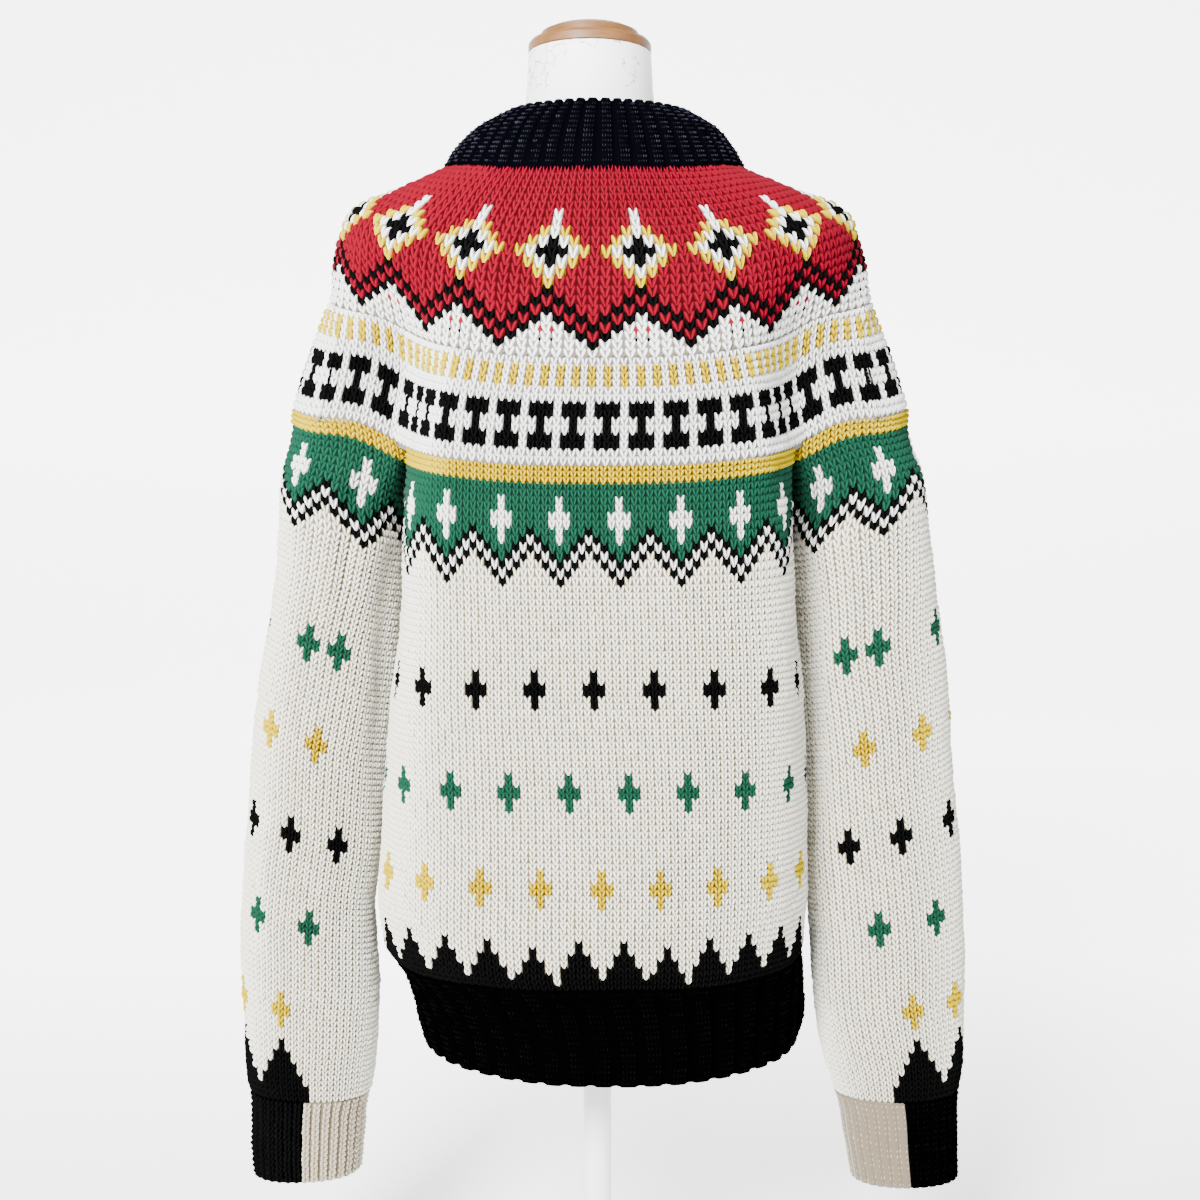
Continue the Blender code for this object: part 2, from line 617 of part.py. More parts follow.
body_levels = np.array([
    TOP_Z - SEAM, 0.668, 0.652, 0.632, 0.605, 0.570, 0.530, 0.490, 0.450, 0.410,
    0.375, 0.348, 0.330, 0.320, BODY_END,
])


def body_piece(name, start, columns):
    """The body's back or front between its two sides."""
    whole = 4 * (columns - 1) // 2
    q = start + np.arange(whole) * 4.0 / whole
    grid = np.array([body_ring(z, q) for z in body_levels])
    normal = levelled(surface_normals(grid, True), [0, -1])
    return wall(name, trimmed(grid[:, :columns], 0.0002), normal[:, :columns], WALL, False)


def trimmed(grid, step):
    """A grid with its two side edges moved in a little along the rows."""
    grid = grid.copy()
    for edge, beside in ((0, 1), (-1, -2)):
        way = grid[:, beside] - grid[:, edge]
        grid[:, edge] += way / np.linalg.norm(way, axis=1, keepdims=True) * step
    return grid


body_back = body_piece("body_back", -1.0, 25)
body_front = body_piece("body_front", 1.0, 25)

# Sleeves, each a back and a front that meet along its outer and its inner side

sleeve_levels = np.concatenate([
    [SLEEVE_TOP - 1.5 * SEAM, 0.697, 0.682, 0.662, 0.640], np.linspace(0.610, 0.300, 9),
    [0.262, 0.228, 0.204, SLEEVE_END],
])
around = np.arange(24) / 24.0
for side, name in ((1.0, "sleeve_left"), (-1.0, "sleeve_right")):
    grid = np.array([sleeve_ring(z, around, side) for z in sleeve_levels])
    normal = levelled(-side * surface_normals(grid, True), [0, -1])
    for half, first in (("back", 0), ("front", 12)):
        part = np.arange(first, first + 13) % 24
        wall(name + "_" + half, trimmed(grid[:, part], 0.0002), normal[:, part], WALL, False)

# Ribbed bands: collar, hem and cuffs

collar_q = 4.0 * np.arange(COLLAR_RIBS * POINTS_PER_RIB) / (COLLAR_RIBS * POINTS_PER_RIB)
collar_grid = np.array([collar_ring(t, collar_q) for t in (0.0, 0.35, 0.7, 1.0)])
collar_ribs = np.outer([0.5, 1.0, 1.0, 1.0], rib_profile(COLLAR_RIBS))
collar_normal = -surface_normals(collar_grid, True)
collar = wall("collar", collar_grid, collar_normal, RIB_WALL, True, collar_ribs)

hem_q = 4.0 * np.arange(HEM_RIBS * POINTS_PER_RIB) / (HEM_RIBS * POINTS_PER_RIB)
hem_grid = np.array([body_ring(z, hem_q) for z in (0.3136, 0.290, 0.2410)])
hem_ribs = np.outer([0.6, 1.0, 1.0], rib_profile(HEM_RIBS))
hem_normal = levelled(surface_normals(hem_grid, True), [0])
hem_rib = wall("hem_rib", hem_grid, hem_normal, RIB_WALL, True, hem_ribs)

cuff_p = np.arange(CUFF_RIBS * POINTS_PER_RIB) / (CUFF_RIBS * POINTS_PER_RIB)
cuff_ribs = np.outer([0.6, 1.0, 1.0], rib_profile(CUFF_RIBS))
for side, name, table in ((1.0, "cuff_left", CUFF_LEFT), (-1.0, "cuff_right", CUFF_RIGHT)):
    cuff_z = (table[0, 0], 0.170, table[-1, 0])
    grid = np.array([sleeve_ring(z, cuff_p, side) for z in cuff_z])
    normal = levelled(-side * surface_normals(grid, True), [0])
    wall(name, grid, normal, RIB_WALL, True, cuff_ribs)

# Dress form, closed and smooth, with its cap, pole and base

form_rings = []
for z in FORM[:, 0]:
    values = [float(read(FORM, BODY_COLUMNS, n, z)) for n in BODY_COLUMNS[1:]]
    ring = quartered(section(*values[:4]), np.arange(28) / 7.0) + np.array([values[4], 0.0])
    form_rings.append(np.column_stack([ring, np.full(len(ring), z)]))
form_torso = lofted("form_torso", form_rings)
neck_cap = turned("neck_cap", CAP, NECK_X, 32)
pole = turned("stand_pole", [(BOSS_TOP + GAP, POLE_R), (FORM[0, 0] - GAP, POLE_R)], 0.002, 20)
base_profile = [
    (0.0, BASE_R - 0.003), (0.003, BASE_R), (BASE_H - 0.003, BASE_R), (BASE_H, BASE_R - 0.004),
    (BASE_H + 0.0005, BOSS_R + 0.004), (BASE_H + 0.004, BOSS_R), (BOSS_TOP, BOSS_R),
]
stand_base = turned("stand_base", base_profile, 0.002, 40)

# Materials

LOOKS = {
    "navy_rib": ((0.008, 0.008, 0.012), 0.95, 0.0),
    "yoke_knit": ((0.60, 0.02, 0.04), 0.95, 0.0),
    "ivory_knit": ((0.80, 0.79, 0.70), 0.95, 0.0),
    "black_rib": ((0.005, 0.005, 0.005), 0.95, 0.0),
    "cuff_knit": ((0.35, 0.33, 0.30), 0.95, 0.0),
    "form_cloth": ((0.88, 0.88, 0.87), 0.85, 0.0),
    "turned_wood": ((0.45, 0.24, 0.11), 0.45, 0.0),
    "white_steel": ((0.85, 0.85, 0.84), 0.35, 0.0),
}
WORN_BY = {
    "collar": "navy_rib",
    "yoke_back": "yoke_knit",
    "yoke_front": "yoke_knit",
    "body_back": "ivory_knit",
    "body_front": "ivory_knit",
    "sleeve_left_back": "ivory_knit",
    "sleeve_left_front": "ivory_knit",
    "sleeve_right_back": "ivory_knit",
    "sleeve_right_front": "ivory_knit",
    "hem_rib": "black_rib",
    "cuff_left": "cuff_knit",
    "cuff_right": "cuff_knit",
    "form_torso": "form_cloth",
    "neck_cap": "turned_wood",
    "stand_pole": "white_steel",
    "stand_base": "white_steel",
}
made = {name: material(name, *look) for name, look in LOOKS.items()}
for node, look in WORN_BY.items():
    bpy.data.objects[node].data.materials.append(made[look])
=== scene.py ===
# %% [markdown]
# # A round-yoke Nordic sweater on a dress form
#
# The sweater is knitted wool: a navy ribbed collar, a red yoke with bands of colour, an ivory
# body and sleeves with small motifs, and black ribbed hem and cuffs. It hangs on a limbless
# dress form with a wooden neck cap. The solids come in as a fixed frame. Each cloth solid is
# then replaced by a thin shell on the same form, covered with real knit stitches.

# %% Load the frame
import math

import bpy
import numpy as np
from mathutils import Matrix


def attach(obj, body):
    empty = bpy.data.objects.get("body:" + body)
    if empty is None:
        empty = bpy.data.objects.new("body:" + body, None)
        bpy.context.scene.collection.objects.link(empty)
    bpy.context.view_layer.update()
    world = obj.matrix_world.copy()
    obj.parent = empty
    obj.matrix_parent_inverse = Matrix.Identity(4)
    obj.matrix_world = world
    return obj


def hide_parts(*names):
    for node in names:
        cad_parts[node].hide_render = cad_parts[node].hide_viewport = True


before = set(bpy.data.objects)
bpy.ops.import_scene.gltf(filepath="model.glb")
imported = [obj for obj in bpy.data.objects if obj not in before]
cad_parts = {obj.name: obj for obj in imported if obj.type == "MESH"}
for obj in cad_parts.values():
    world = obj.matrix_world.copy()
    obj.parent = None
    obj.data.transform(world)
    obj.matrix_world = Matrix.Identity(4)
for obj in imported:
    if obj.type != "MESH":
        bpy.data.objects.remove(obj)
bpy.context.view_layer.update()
scene = bpy.context.scene

# %% [markdown]
# ## Camera
#
# The photograph is taken from behind the garment, at the height of its chest, with the camera
# about 1.2 m away and tilted down by 5 degrees. A lens of 46 mm on a 36 mm wide picture gives
# the photograph's framing, where the neck cap nearly touches the upper edge.

# %% Camera
SENSOR = 36.0  # mm
PHOTO_WIDTH = 1200.0  # pixels
FOCAL_LENGTH = 1537.0  # pixels
CAMERA_PLACE = (0.0, 1.17, 0.68)
TILT_DOWN = 5.02  # degrees

lens_data = bpy.data.cameras.new("studio_camera")
lens_data.sensor_width = SENSOR
lens_data.sensor_fit = "HORIZONTAL"
lens_data.lens = SENSOR * FOCAL_LENGTH / PHOTO_WIDTH
camera = bpy.data.objects.new("studio_camera", lens_data)
camera.location = CAMERA_PLACE
camera.rotation_euler = (math.radians(90.0 - TILT_DOWN), 0.0, math.radians(180.0))
scene.collection.objects.link(camera)
scene.camera = camera
print("camera at", tuple(camera.location))

# %% [markdown]
# ## The garment's form
#
# A knitted garment has no flat panels, so each piece is described by rings: tables give the
# width, depth and height at a few levels, and a smooth curve runs through them. These tables
# and functions are the ones that the solids were made from, so the cloth lies on the solids.
# The photograph's folds are soft ridges and troughs, each listed with its own place,
# length, width, height and drift.

# %% Sizes of the garment
TOP_Z = 0.6793
TOP_RISE = 0.0429
TOP_W = 0.231
LAST_ROW = 36.0
SPLIT_X = 0.1385
ARM_X = 0.1418
BODY_END = 0.3140
SLEEVE_TOP = 0.7083
SLEEVE_END = 0.193
SLACK = 0.00005  # a height this little below a table's end still belongs to that table

# Yoke: knitted row from the collar, place of the outer side, of the back and of the front

YOKE_COLUMNS = ("row", "out_x", "out_z", "back_y", "back_z", "front_y", "front_z", "shift")
YOKE = np.array([
    (0.0, 0.1110, 0.8968, 0.0880, 0.8855, 0.0860, 0.8760, 0.0045),
    (3.0, 0.1300, 0.8895, 0.0960, 0.8700, 0.0945, 0.8620, 0.0040),
    (6.0, 0.1500, 0.8815, 0.1030, 0.8535, 0.1020, 0.8470, 0.0030),
    (10.0, 0.1785, 0.8695, 0.1120, 0.8275, 0.1105, 0.8225, 0.0020),
    (12.0, 0.1885, 0.8595, 0.1163, 0.8135, 0.1140, 0.8100, 0.0015),
    (14.0, 0.1925, 0.8460, 0.1200, 0.7995, 0.1165, 0.7960, 0.0010),
    (21.0, 0.2010, 0.8065, 0.1270, 0.7573, 0.1205, 0.7550, 0.0000),
    (28.0, 0.2160, 0.7680, 0.1290, 0.7215, 0.1210, 0.7200, 0.0000),
    (36.0, 0.2310, 0.7222, 0.1275, 0.6793, 0.1190, 0.6793, 0.0000),
])

# The yoke's last ring from the middle of back or front to the outer side: a flat back, a ramp
# down to the fold beside the body, and the sleeve's face

LAST_COLUMNS = ("share", "x", "back_y", "front_y")
LAST = np.array([
    (0.0000, 0.0000, 0.1275, 0.1190),
    (0.1700, 0.0550, 0.1265, 0.1180),
    (0.3465, 0.1100, 0.1165, 0.1075),
    (0.4235, 0.1260, 0.0965, 0.0880),
    (0.5000, 0.1385, 0.0700, 0.0620),
    (0.5775, 0.1540, 0.0520, 0.0450),
    (0.6545, 0.1790, 0.0530, 0.0460),
    (0.7700, 0.2010, 0.0480, 0.0420),
    (0.9000, 0.2240, 0.0270, 0.0200),
    (1.0000, 0.2310, 0.0030, -0.0030),
])

# Where the seam between front and back yoke runs: share of the way from the middle of the back
# to the outer side. It lies on the shoulder and then slips to the back of the sleeve

SEAM_COLUMNS = ("row", "share")
SEAM_LINE = np.array([
    (0.0, 1.0), (10.0, 1.0), (14.0, 0.985), (21.0, 0.86), (28.0, 0.78), (36.0, 0.77),
])

# Body and hem: height, half width, back, front, squareness of the section, sideways shift

BODY_COLUMNS = ("z", "half_x", "back_y", "front_y", "square", "shift")
BODY = np.array([
    (0.6793, 0.1385, 0.1275, 0.1190, 4.5, 0.0000),
    (0.6500, 0.1395, 0.1272, 0.1205, 4.4, 0.0010),
    (0.6300, 0.1410, 0.1268, 0.1212, 4.3, 0.0012),
    (0.5700, 0.1435, 0.1255, 0.1195, 4.0, 0.0010),
    (0.5000, 0.1505, 0.1240, 0.1150, 3.6, 0.0020),
    (0.4500, 0.1540, 0.1242, 0.1140, 3.3, 0.0030),
    (0.3860, 0.1575, 0.1262, 0.1155, 3.0, 0.0045),
    (0.3450, 0.1595, 0.1300, 0.1200, 2.8, 0.0055),
    (0.3260, 0.1595, 0.1308, 0.1208, 2.7, 0.0050),
    (0.3140, 0.1560, 0.1265, 0.1170, 2.6, 0.0030),
])
HEM = np.array([
    (0.3136, 0.1553, 0.1258, 0.1163, 2.6, 0.0028),
    (0.3000, 0.1512, 0.1202, 0.1120, 2.4, -0.0020),
    (0.2800, 0.1492, 0.1168, 0.1088, 2.2, -0.0060),
    (0.2600, 0.1478, 0.1155, 0.1075, 2.1, -0.0085),
    (0.2410, 0.1425, 0.1140, 0.1060, 2.1, -0.0085),
])

# Sleeves: height of the ring's middle, how much higher its outer side is, outer and inner side,
# back, front, squareness of the section. Each sleeve hangs in its own way

SLEEVE_COLUMNS = ("z", "tilt", "out_x", "in_x", "back_y", "front_y", "square")
SLEEVE_LEFT = np.array([
    (0.7083, 0.028, 0.2310, 0.1418, 0.052, 0.046, 2.4),
    (0.6800, 0.029, 0.2375, 0.1432, 0.051, 0.045, 2.4),
    (0.6500, 0.030, 0.2398, 0.1462, 0.050, 0.044, 2.4),
    (0.6000, 0.030, 0.2435, 0.1482, 0.048, 0.042, 2.3),
    (0.5500, 0.031, 0.2500, 0.1535, 0.045, 0.041, 2.3),
    (0.5000, 0.031, 0.2585, 0.1590, 0.043, 0.040, 2.2),
    (0.4500, 0.030, 0.2645, 0.1645, 0.042, 0.039, 2.2),
    (0.4000, 0.028, 0.2690, 0.1700, 0.040, 0.038, 2.2),
    (0.3500, 0.023, 0.2742, 0.1758, 0.038, 0.037, 2.2),
    (0.3200, 0.020, 0.2772, 0.1748, 0.037, 0.036, 2.2),
    (0.2900, 0.017, 0.2775, 0.1730, 0.036, 0.036, 2.2),
    (0.2500, 0.012, 0.2766, 0.1760, 0.035, 0.035, 2.2),
    (0.2150, 0.006, 0.2758, 0.1780, 0.034, 0.033, 2.2),
    (0.1930, 0.002, 0.2735, 0.1810, 0.031, 0.030, 2.2),
])
SLEEVE_RIGHT = np.array([
    (0.7083, 0.028, 0.2310, 0.1418, 0.052, 0.046, 2.4),
    (0.6800, 0.029, 0.2410, 0.1425, 0.051, 0.045, 2.4),
    (0.6500, 0.030, 0.2440, 0.1440, 0.050, 0.044, 2.4),
    (0.6000, 0.030, 0.2505, 0.1460, 0.048, 0.042, 2.3),
    (0.5500, 0.031, 0.2575, 0.1490, 0.045, 0.041, 2.3),
    (0.5000, 0.031, 0.2640, 0.1530, 0.043, 0.040, 2.2),
    (0.4500, 0.030, 0.2670, 0.1560, 0.042, 0.039, 2.2),
    (0.4000, 0.028, 0.2730, 0.1590, 0.041, 0.038, 2.2),
    (0.3500, 0.023, 0.2780, 0.1622, 0.040, 0.037, 2.2),
    (0.3200, 0.020, 0.2802, 0.1650, 0.039, 0.037, 2.2),
    (0.2900, 0.017, 0.2818, 0.1665, 0.038, 0.036, 2.2),
    (0.2500, 0.012, 0.2832, 0.1725, 0.036, 0.035, 2.2),
    (0.2150, 0.006, 0.2830, 0.1785, 0.034, 0.033, 2.2),
    (0.1930, 0.002, 0.2805, 0.1845, 0.031, 0.030, 2.2),
])
CUFF_LEFT = np.array([
    (0.1926, 0.002, 0.2728, 0.1818, 0.0305, 0.0295, 2.2),
    (0.1800, 0.001, 0.2718, 0.1850, 0.0290, 0.0275, 2.2),
    (0.1550, 0.000, 0.2718, 0.1872, 0.0285, 0.0265, 2.2),
    (0.1270, -0.002, 0.2705, 0.1900, 0.0270, 0.0250, 2.2),
])
CUFF_RIGHT = np.array([
    (0.1926, 0.002, 0.2798, 0.1852, 0.0305, 0.0295, 2.2),
    (0.1800, 0.001, 0.2790, 0.1895, 0.0290, 0.0275, 2.2),
    (0.1550, 0.000, 0.2790, 0.1935, 0.0285, 0.0265, 2.2),
    (0.1240, 0.002, 0.2795, 0.1995, 0.0270, 0.0250, 2.2),
])

# Collar: share of its height, half width, back, front, heights at side, back and front, shift

COLLAR_COLUMNS = ("share", "half_x", "back_y", "front_y", "side_z", "back_z", "front_z", "shift")
COLLAR = np.array([
    (0.00, 0.1104, 0.0875, 0.0855, 0.8974, 0.8862, 0.8767, 0.0045),
    (0.35, 0.1010, 0.0812, 0.0790, 0.9112, 0.9035, 0.8930, 0.0040),
    (0.70, 0.0880, 0.0735, 0.0712, 0.9245, 0.9210, 0.9100, 0.0030),
    (1.00, 0.0700, 0.0640, 0.0620, 0.9330, 0.9350, 0.9240, 0.0020),
])

# Soft folds: share of the way round, upper and lower end, width, height of the ridge or depth of
# the trough, and how far the lower end drifts round the piece

BODY_FOLDS = np.array([
    (0.130, 0.640, 0.340, 0.030, 0.0030, 0.030),
    (0.205, 0.600, 0.330, 0.022, 0.0028, -0.010),
    (0.300, 0.620, 0.330, 0.026, -0.0028, 0.010),
    (0.420, 0.560, 0.330, 0.035, 0.0026, 0.020),
    (0.560, 0.600, 0.335, 0.030, 0.0028, -0.015),
    (0.700, 0.610, 0.335, 0.028, -0.0030, -0.010),
    (0.795, 0.600, 0.330, 0.022, 0.0028, 0.012),
    (0.880, 0.620, 0.340, 0.032, 0.0028, -0.020),
    (0.960, 0.480, 0.330, 0.040, 0.0022, 0.010),
])
SLEEVE_FOLDS = np.array([
    (0.195, 0.705, 0.230, 0.028, 0.0026, 0.045),
    (0.330, 0.640, 0.240, 0.040, -0.0030, -0.030),
    (0.440, 0.600, 0.215, 0.045, 0.0030, -0.040),
    (0.620, 0.660, 0.260, 0.050, -0.0034, 0.050),
    (0.760, 0.600, 0.230, 0.045, 0.0030, 0.030),
    (0.900, 0.560, 0.260, 0.050, 0.0022, -0.030),
])


# %% Curves through the tables
def column(table, names, name):
    """One named column of a table."""
    return table[:, names.index(name)]


def smooth(t):
    """Zero below 0, one above 1, and a soft step between."""
    t = np.clip(t, 0.0, 1.0)
    return t * t * (3.0 - 2.0 * t)


def curve(xs, ys, x):
    """A smooth curve through a table's points, read at x. The points may run either way."""
    xs, ys, x = np.asarray(xs, float), np.asarray(ys, float), np.asarray(x, float)
    if xs[0] > xs[-1]:
        xs, ys = xs[::-1], ys[::-1]
    slope = np.diff(ys) / np.diff(xs)
    tangent = np.empty(len(xs))
    tangent[0], tangent[-1] = slope[0], slope[-1]
    same = slope[:-1] * slope[1:] > 0
    safe = np.where(same, slope[:-1] + slope[1:], 1.0)
    tangent[1:-1] = np.where(same, 2.0 * slope[:-1] * slope[1:] / safe, 0.0)
    x = np.clip(x, xs[0], xs[-1])
    i = np.clip(np.searchsorted(xs, x) - 1, 0, len(xs) - 2)
    h = xs[i + 1] - xs[i]
    t = (x - xs[i]) / h
    a = (1 + 2 * t) * (1 - t) ** 2 * ys[i] + t * (1 - t) ** 2 * h * tangent[i]
    b = t * t * (3 - 2 * t) * ys[i + 1] + t * t * (t - 1) * h * tangent[i + 1]
    return a + b


def read(table, names, name, x):
    """A named column of a table as a smooth curve over its first column."""
    return curve(table[:, 0], column(table, names, name), x)


def rise_share(x_share, lower):
    """How far up a yoke ring has climbed at a share of the way out to the side."""
    x_share = np.abs(x_share)
    bump = 0.25 * lower * np.exp(-(((x_share - 0.76) / 0.13) ** 2))
    return x_share ** 2.6 + bump


def round_ring(q):
    """A rounded ring: side, whether on the back, share of the quarter, and x and y shares."""
    from_back = np.minimum(q, 4.0 - q)
    back = from_back <= 1.0
    s = np.where(back, from_back, 2.0 - from_back)
    angle = 0.5 * math.pi * (0.85 * s + 0.15 * s ** 3)
    x_share = np.abs(np.sin(angle)) ** (2 / 2.15)
    y_share = np.abs(np.cos(angle)) ** (2 / 2.15)
    return np.where(q <= 2.0, 1.0, -1.0), back, s, x_share, y_share


def yoke_point(q, row):
    """Yoke surface. q is 0 at the middle back, 1 at the wearer's left, 2 front, 3 right."""
    q, row = np.broadcast_arrays(np.asarray(q, float) % 4.0, np.asarray(row, float))
    side, back, s, high_x, high_y = round_ring(q)
    low_x = read(LAST, LAST_COLUMNS, "x", s) / TOP_W
    low_back = read(LAST, LAST_COLUMNS, "back_y", s) / LAST[0, 2]
    low_front = read(LAST, LAST_COLUMNS, "front_y", s) / LAST[0, 3]
    lower = smooth((row - 11.0) / 19.0)
    x_share = high_x + (low_x - high_x) * lower
    y_share = high_y + (np.where(back, low_back, low_front) - high_y) * lower
    out_x = read(YOKE, YOKE_COLUMNS, "out_x", row)
    out_z = read(YOKE, YOKE_COLUMNS, "out_z", row)
    deep = np.where(
        back,
        read(YOKE, YOKE_COLUMNS, "back_y", row),
        -read(YOKE, YOKE_COLUMNS, "front_y", row),
    )
    middle_z = np.where(
        back,
        read(YOKE, YOKE_COLUMNS, "back_z", row),
        read(YOKE, YOKE_COLUMNS, "front_z", row),
    )
    x = read(YOKE, YOKE_COLUMNS, "shift", row) + side * out_x * x_share
    z = middle_z + (out_z - middle_z) * rise_share(x_share, lower)
    return np.stack([x, deep * y_share, z], axis=-1)


def seam_share(row):
    """Where the seam between the yoke's back and front lies at a row."""
    return read(SEAM_LINE, SEAM_COLUMNS, "share", row)


def section(half_x, back_y, front_y, square, count=240):
    """A closed rounded outline: middle back, wearer's left, front, right, and back again."""
    angle = np.linspace(0.0, 2.0 * math.pi, count + 1)
    s, c = np.sin(angle), np.cos(angle)
    x = half_x * np.sign(s) * np.abs(s) ** (2.0 / square)
    y = np.where(c > 0, back_y, front_y) * np.sign(c) * np.abs(c) ** (2.0 / square)
    return np.stack([x, y], axis=-1)


def along(line, shares):
    """Points at shares of an open line's length."""
    step = np.concatenate([[0.0], np.cumsum(np.linalg.norm(np.diff(line, axis=0), axis=1))])
    at = np.asarray(shares, float) * step[-1]
    return np.stack([np.interp(at, step, line[:, k]) for k in range(line.shape[1])], axis=-1)


def quartered(outline, q, count=240):
    """Points of a closed outline at q, evenly spaced within each of its four quarters."""
    q = np.asarray(q, float) % 4.0
    part = count // 4
    found = np.zeros((len(q), 2))
    for i in range(4):
        here = (q >= i) & (q <= i + 1)
        found[here] = along(outline[i * part:(i + 1) * part + 1], q[here] - i)
    return found


def soften(line, rounds):
    """An open line with its corners rounded and its ends kept."""
    line = line.copy()
    for _ in range(rounds):
        line[1:-1] = 0.25 * line[:-2] + 0.5 * line[1:-1] + 0.25 * line[2:]
    return line


def body_top(q):
    """Plan of the body where it leaves the yoke: the yoke's ring and a straight side."""
    q = np.asarray(q, float) % 4.0
    found = np.zeros((len(q), 2))
    reach = np.linspace(0.0, 0.498, 40)
    for i in range(4):
        base = (0.0, 2.0, 2.0, 4.0)[i]
        sign = (1.0, -1.0, 1.0, -1.0)[i]
        arc = yoke_point(base + sign * reach, LAST_ROW)[:, :2]
        edge = np.array([np.sign(arc[-1, 0]) * SPLIT_X, 0.0])
        side = arc[-1] + (edge - arc[-1]) * np.linspace(0.0, 1.0, 20)[1:, None]
        line = soften(np.concatenate([arc, side]), 12)
        here = (q >= i) & (q <= i + 1)
        t = q[here] - i
        found[here] = along(line, t if sign > 0 else 1.0 - t)
    return found


def folds(table, around, z, size):
    """Height of the soft folds at a share round the piece."""
    total = np.zeros_like(around)
    for at, top_z, low_z, width, rise, drift in table:
        middle = at + drift * (top_z - z) / (top_z - low_z)
        apart = (around - middle + 0.5) % 1.0 - 0.5
        fade = smooth((top_z - z) / 0.09) * smooth((z - low_z + 0.012) / 0.05)
        total = total + rise * fade * np.exp(-((apart * size / width) ** 2))
    return total


# %% Rings of the body, the sleeves and the collar
def outward(plan):
    """Unit directions pointing out of a closed plan that runs clockwise seen from above."""
    ahead = np.roll(plan, -1, axis=0) - np.roll(plan, 1, axis=0)
    out = np.stack([-ahead[:, 1], ahead[:, 0]], axis=-1)
    out /= np.maximum(np.linalg.norm(out, axis=1, keepdims=True), 1e-9)
    middle = plan.mean(axis=0)
    if ((plan - middle) * out).sum() < 0:
        out = -out
    return out


def body_ring(z, q):
    """Body surface at a height of the middle back, for every q round it."""
    table = BODY if z > BODY_END - SLACK else HEM
    half_x, back_y, front_y, square, shift = [
        float(read(table, BODY_COLUMNS, n, z)) for n in BODY_COLUMNS[1:]
    ]
    plan = quartered(section(half_x, back_y, front_y, square), q)
    near_top = float(1.0 - smooth((TOP_Z - z) / 0.05))
    if near_top > 0:
        plan = plan + (body_top(q) - plan) * near_top
    if table is BODY:
        plan = plan + outward(plan) * folds(BODY_FOLDS, np.asarray(q) / 4.0, z, 0.9)[:, None]
    climb = TOP_RISE * rise_share(plan[:, 0] / TOP_W, 1.0)
    climb = climb * float(1.0 - smooth((TOP_Z - z) / 0.16))
    plan = plan + np.array([shift, 0.0])
    return np.column_stack([plan, z + climb])


def sleeve_top(p, side):
    """Plan of a sleeve where it leaves the yoke, p from its outer side round its back."""
    found = np.zeros((len(p), 2))
    for i in range(2):
        reach = np.linspace(1.0, 0.512, 40)
        q = reach if i == 0 else 2.0 - reach
        arc = yoke_point(q, LAST_ROW)[:, :2]
        edge = np.array([ARM_X, 0.003])
        inner = arc[-1] + (edge - arc[-1]) * np.linspace(0.0, 1.0, 20)[1:, None]
        line = soften(np.concatenate([arc, inner]), 26)
        here = (p <= 0.5) if i == 0 else (p > 0.5)
        share = 2.0 * p[here] if i == 0 else 2.0 * (1.0 - p[here])
        found[here] = along(line, share)
    found[:, 0] *= side
    return found


def sleeve_ring(z, p, side):
    """Sleeve surface at a height of its ring's middle. side is 1 for the wearer's left."""
    sleeve, cuff = (SLEEVE_LEFT, CUFF_LEFT) if side > 0 else (SLEEVE_RIGHT, CUFF_RIGHT)
    table = sleeve if z > SLEEVE_END - SLACK else cuff
    p = np.asarray(p, float) % 1.0
    tilt, out_x, in_x, back_y, front_y, square = [
        float(read(table, SLEEVE_COLUMNS, n, z)) for n in SLEEVE_COLUMNS[1:]
    ]
    centre = 0.5 * (out_x + in_x)
    outline = section(0.5 * (out_x - in_x), back_y, front_y, square)
    # The outline starts at its back and p starts at the outer side, so both are turned alike
    plan = quartered(outline, 1.0 - 4.0 * p)
    if table is sleeve:
        plan = plan + outward(plan) * folds(SLEEVE_FOLDS, p, z, 0.33)[:, None]
    height = z + tilt * plan[:, 0] / (out_x - in_x)
    plan = (plan + np.array([centre, 0.0])) * np.array([side, 1.0])
    near_top = float(1.0 - smooth((SLEEVE_TOP - z) / 0.06))
    if near_top > 0:
        top = sleeve_top(p, side)
        top_z = TOP_Z + TOP_RISE * rise_share(top[:, 0] / TOP_W, 1.0)
        plan = plan + (top - plan) * near_top
        height = height + (top_z - SLEEVE_TOP + z - height) * near_top
    return np.column_stack([plan, height])


def collar_ring(share, q):
    """Collar surface at a share of its height."""
    half_x, back_y, front_y, side_z, back_z, front_z, shift = [
        float(read(COLLAR, COLLAR_COLUMNS, n, share)) for n in COLLAR_COLUMNS[1:]
    ]
    side, back, _, x_share, y_share = round_ring(np.asarray(q, float) % 4.0)
    x = shift + side * half_x * x_share
    y = np.where(back, back_y, -front_y) * y_share
    middle_z = np.where(back, back_z, front_z)
    return np.column_stack([x, y, middle_z + (side_z - middle_z) * x_share ** 2.6])


def surface_normals(grid, closed):
    """Unit normals of a grid of points, on one side of it."""
    down = np.gradient(grid, axis=0)
    if closed:
        across = np.roll(grid, -1, axis=1) - np.roll(grid, 1, axis=1)
    else:
        across = np.gradient(grid, axis=1)
    normal = np.cross(across, down)
    normal /= np.maximum(np.linalg.norm(normal, axis=2, keepdims=True), 1e-12)
    return normal


edge = np.round(yoke_point([0.0, 1.0], LAST_ROW), 4)
print("yoke's lower edge at middle back", edge[0].tolist(), "and at the left side", edge[1].tolist())
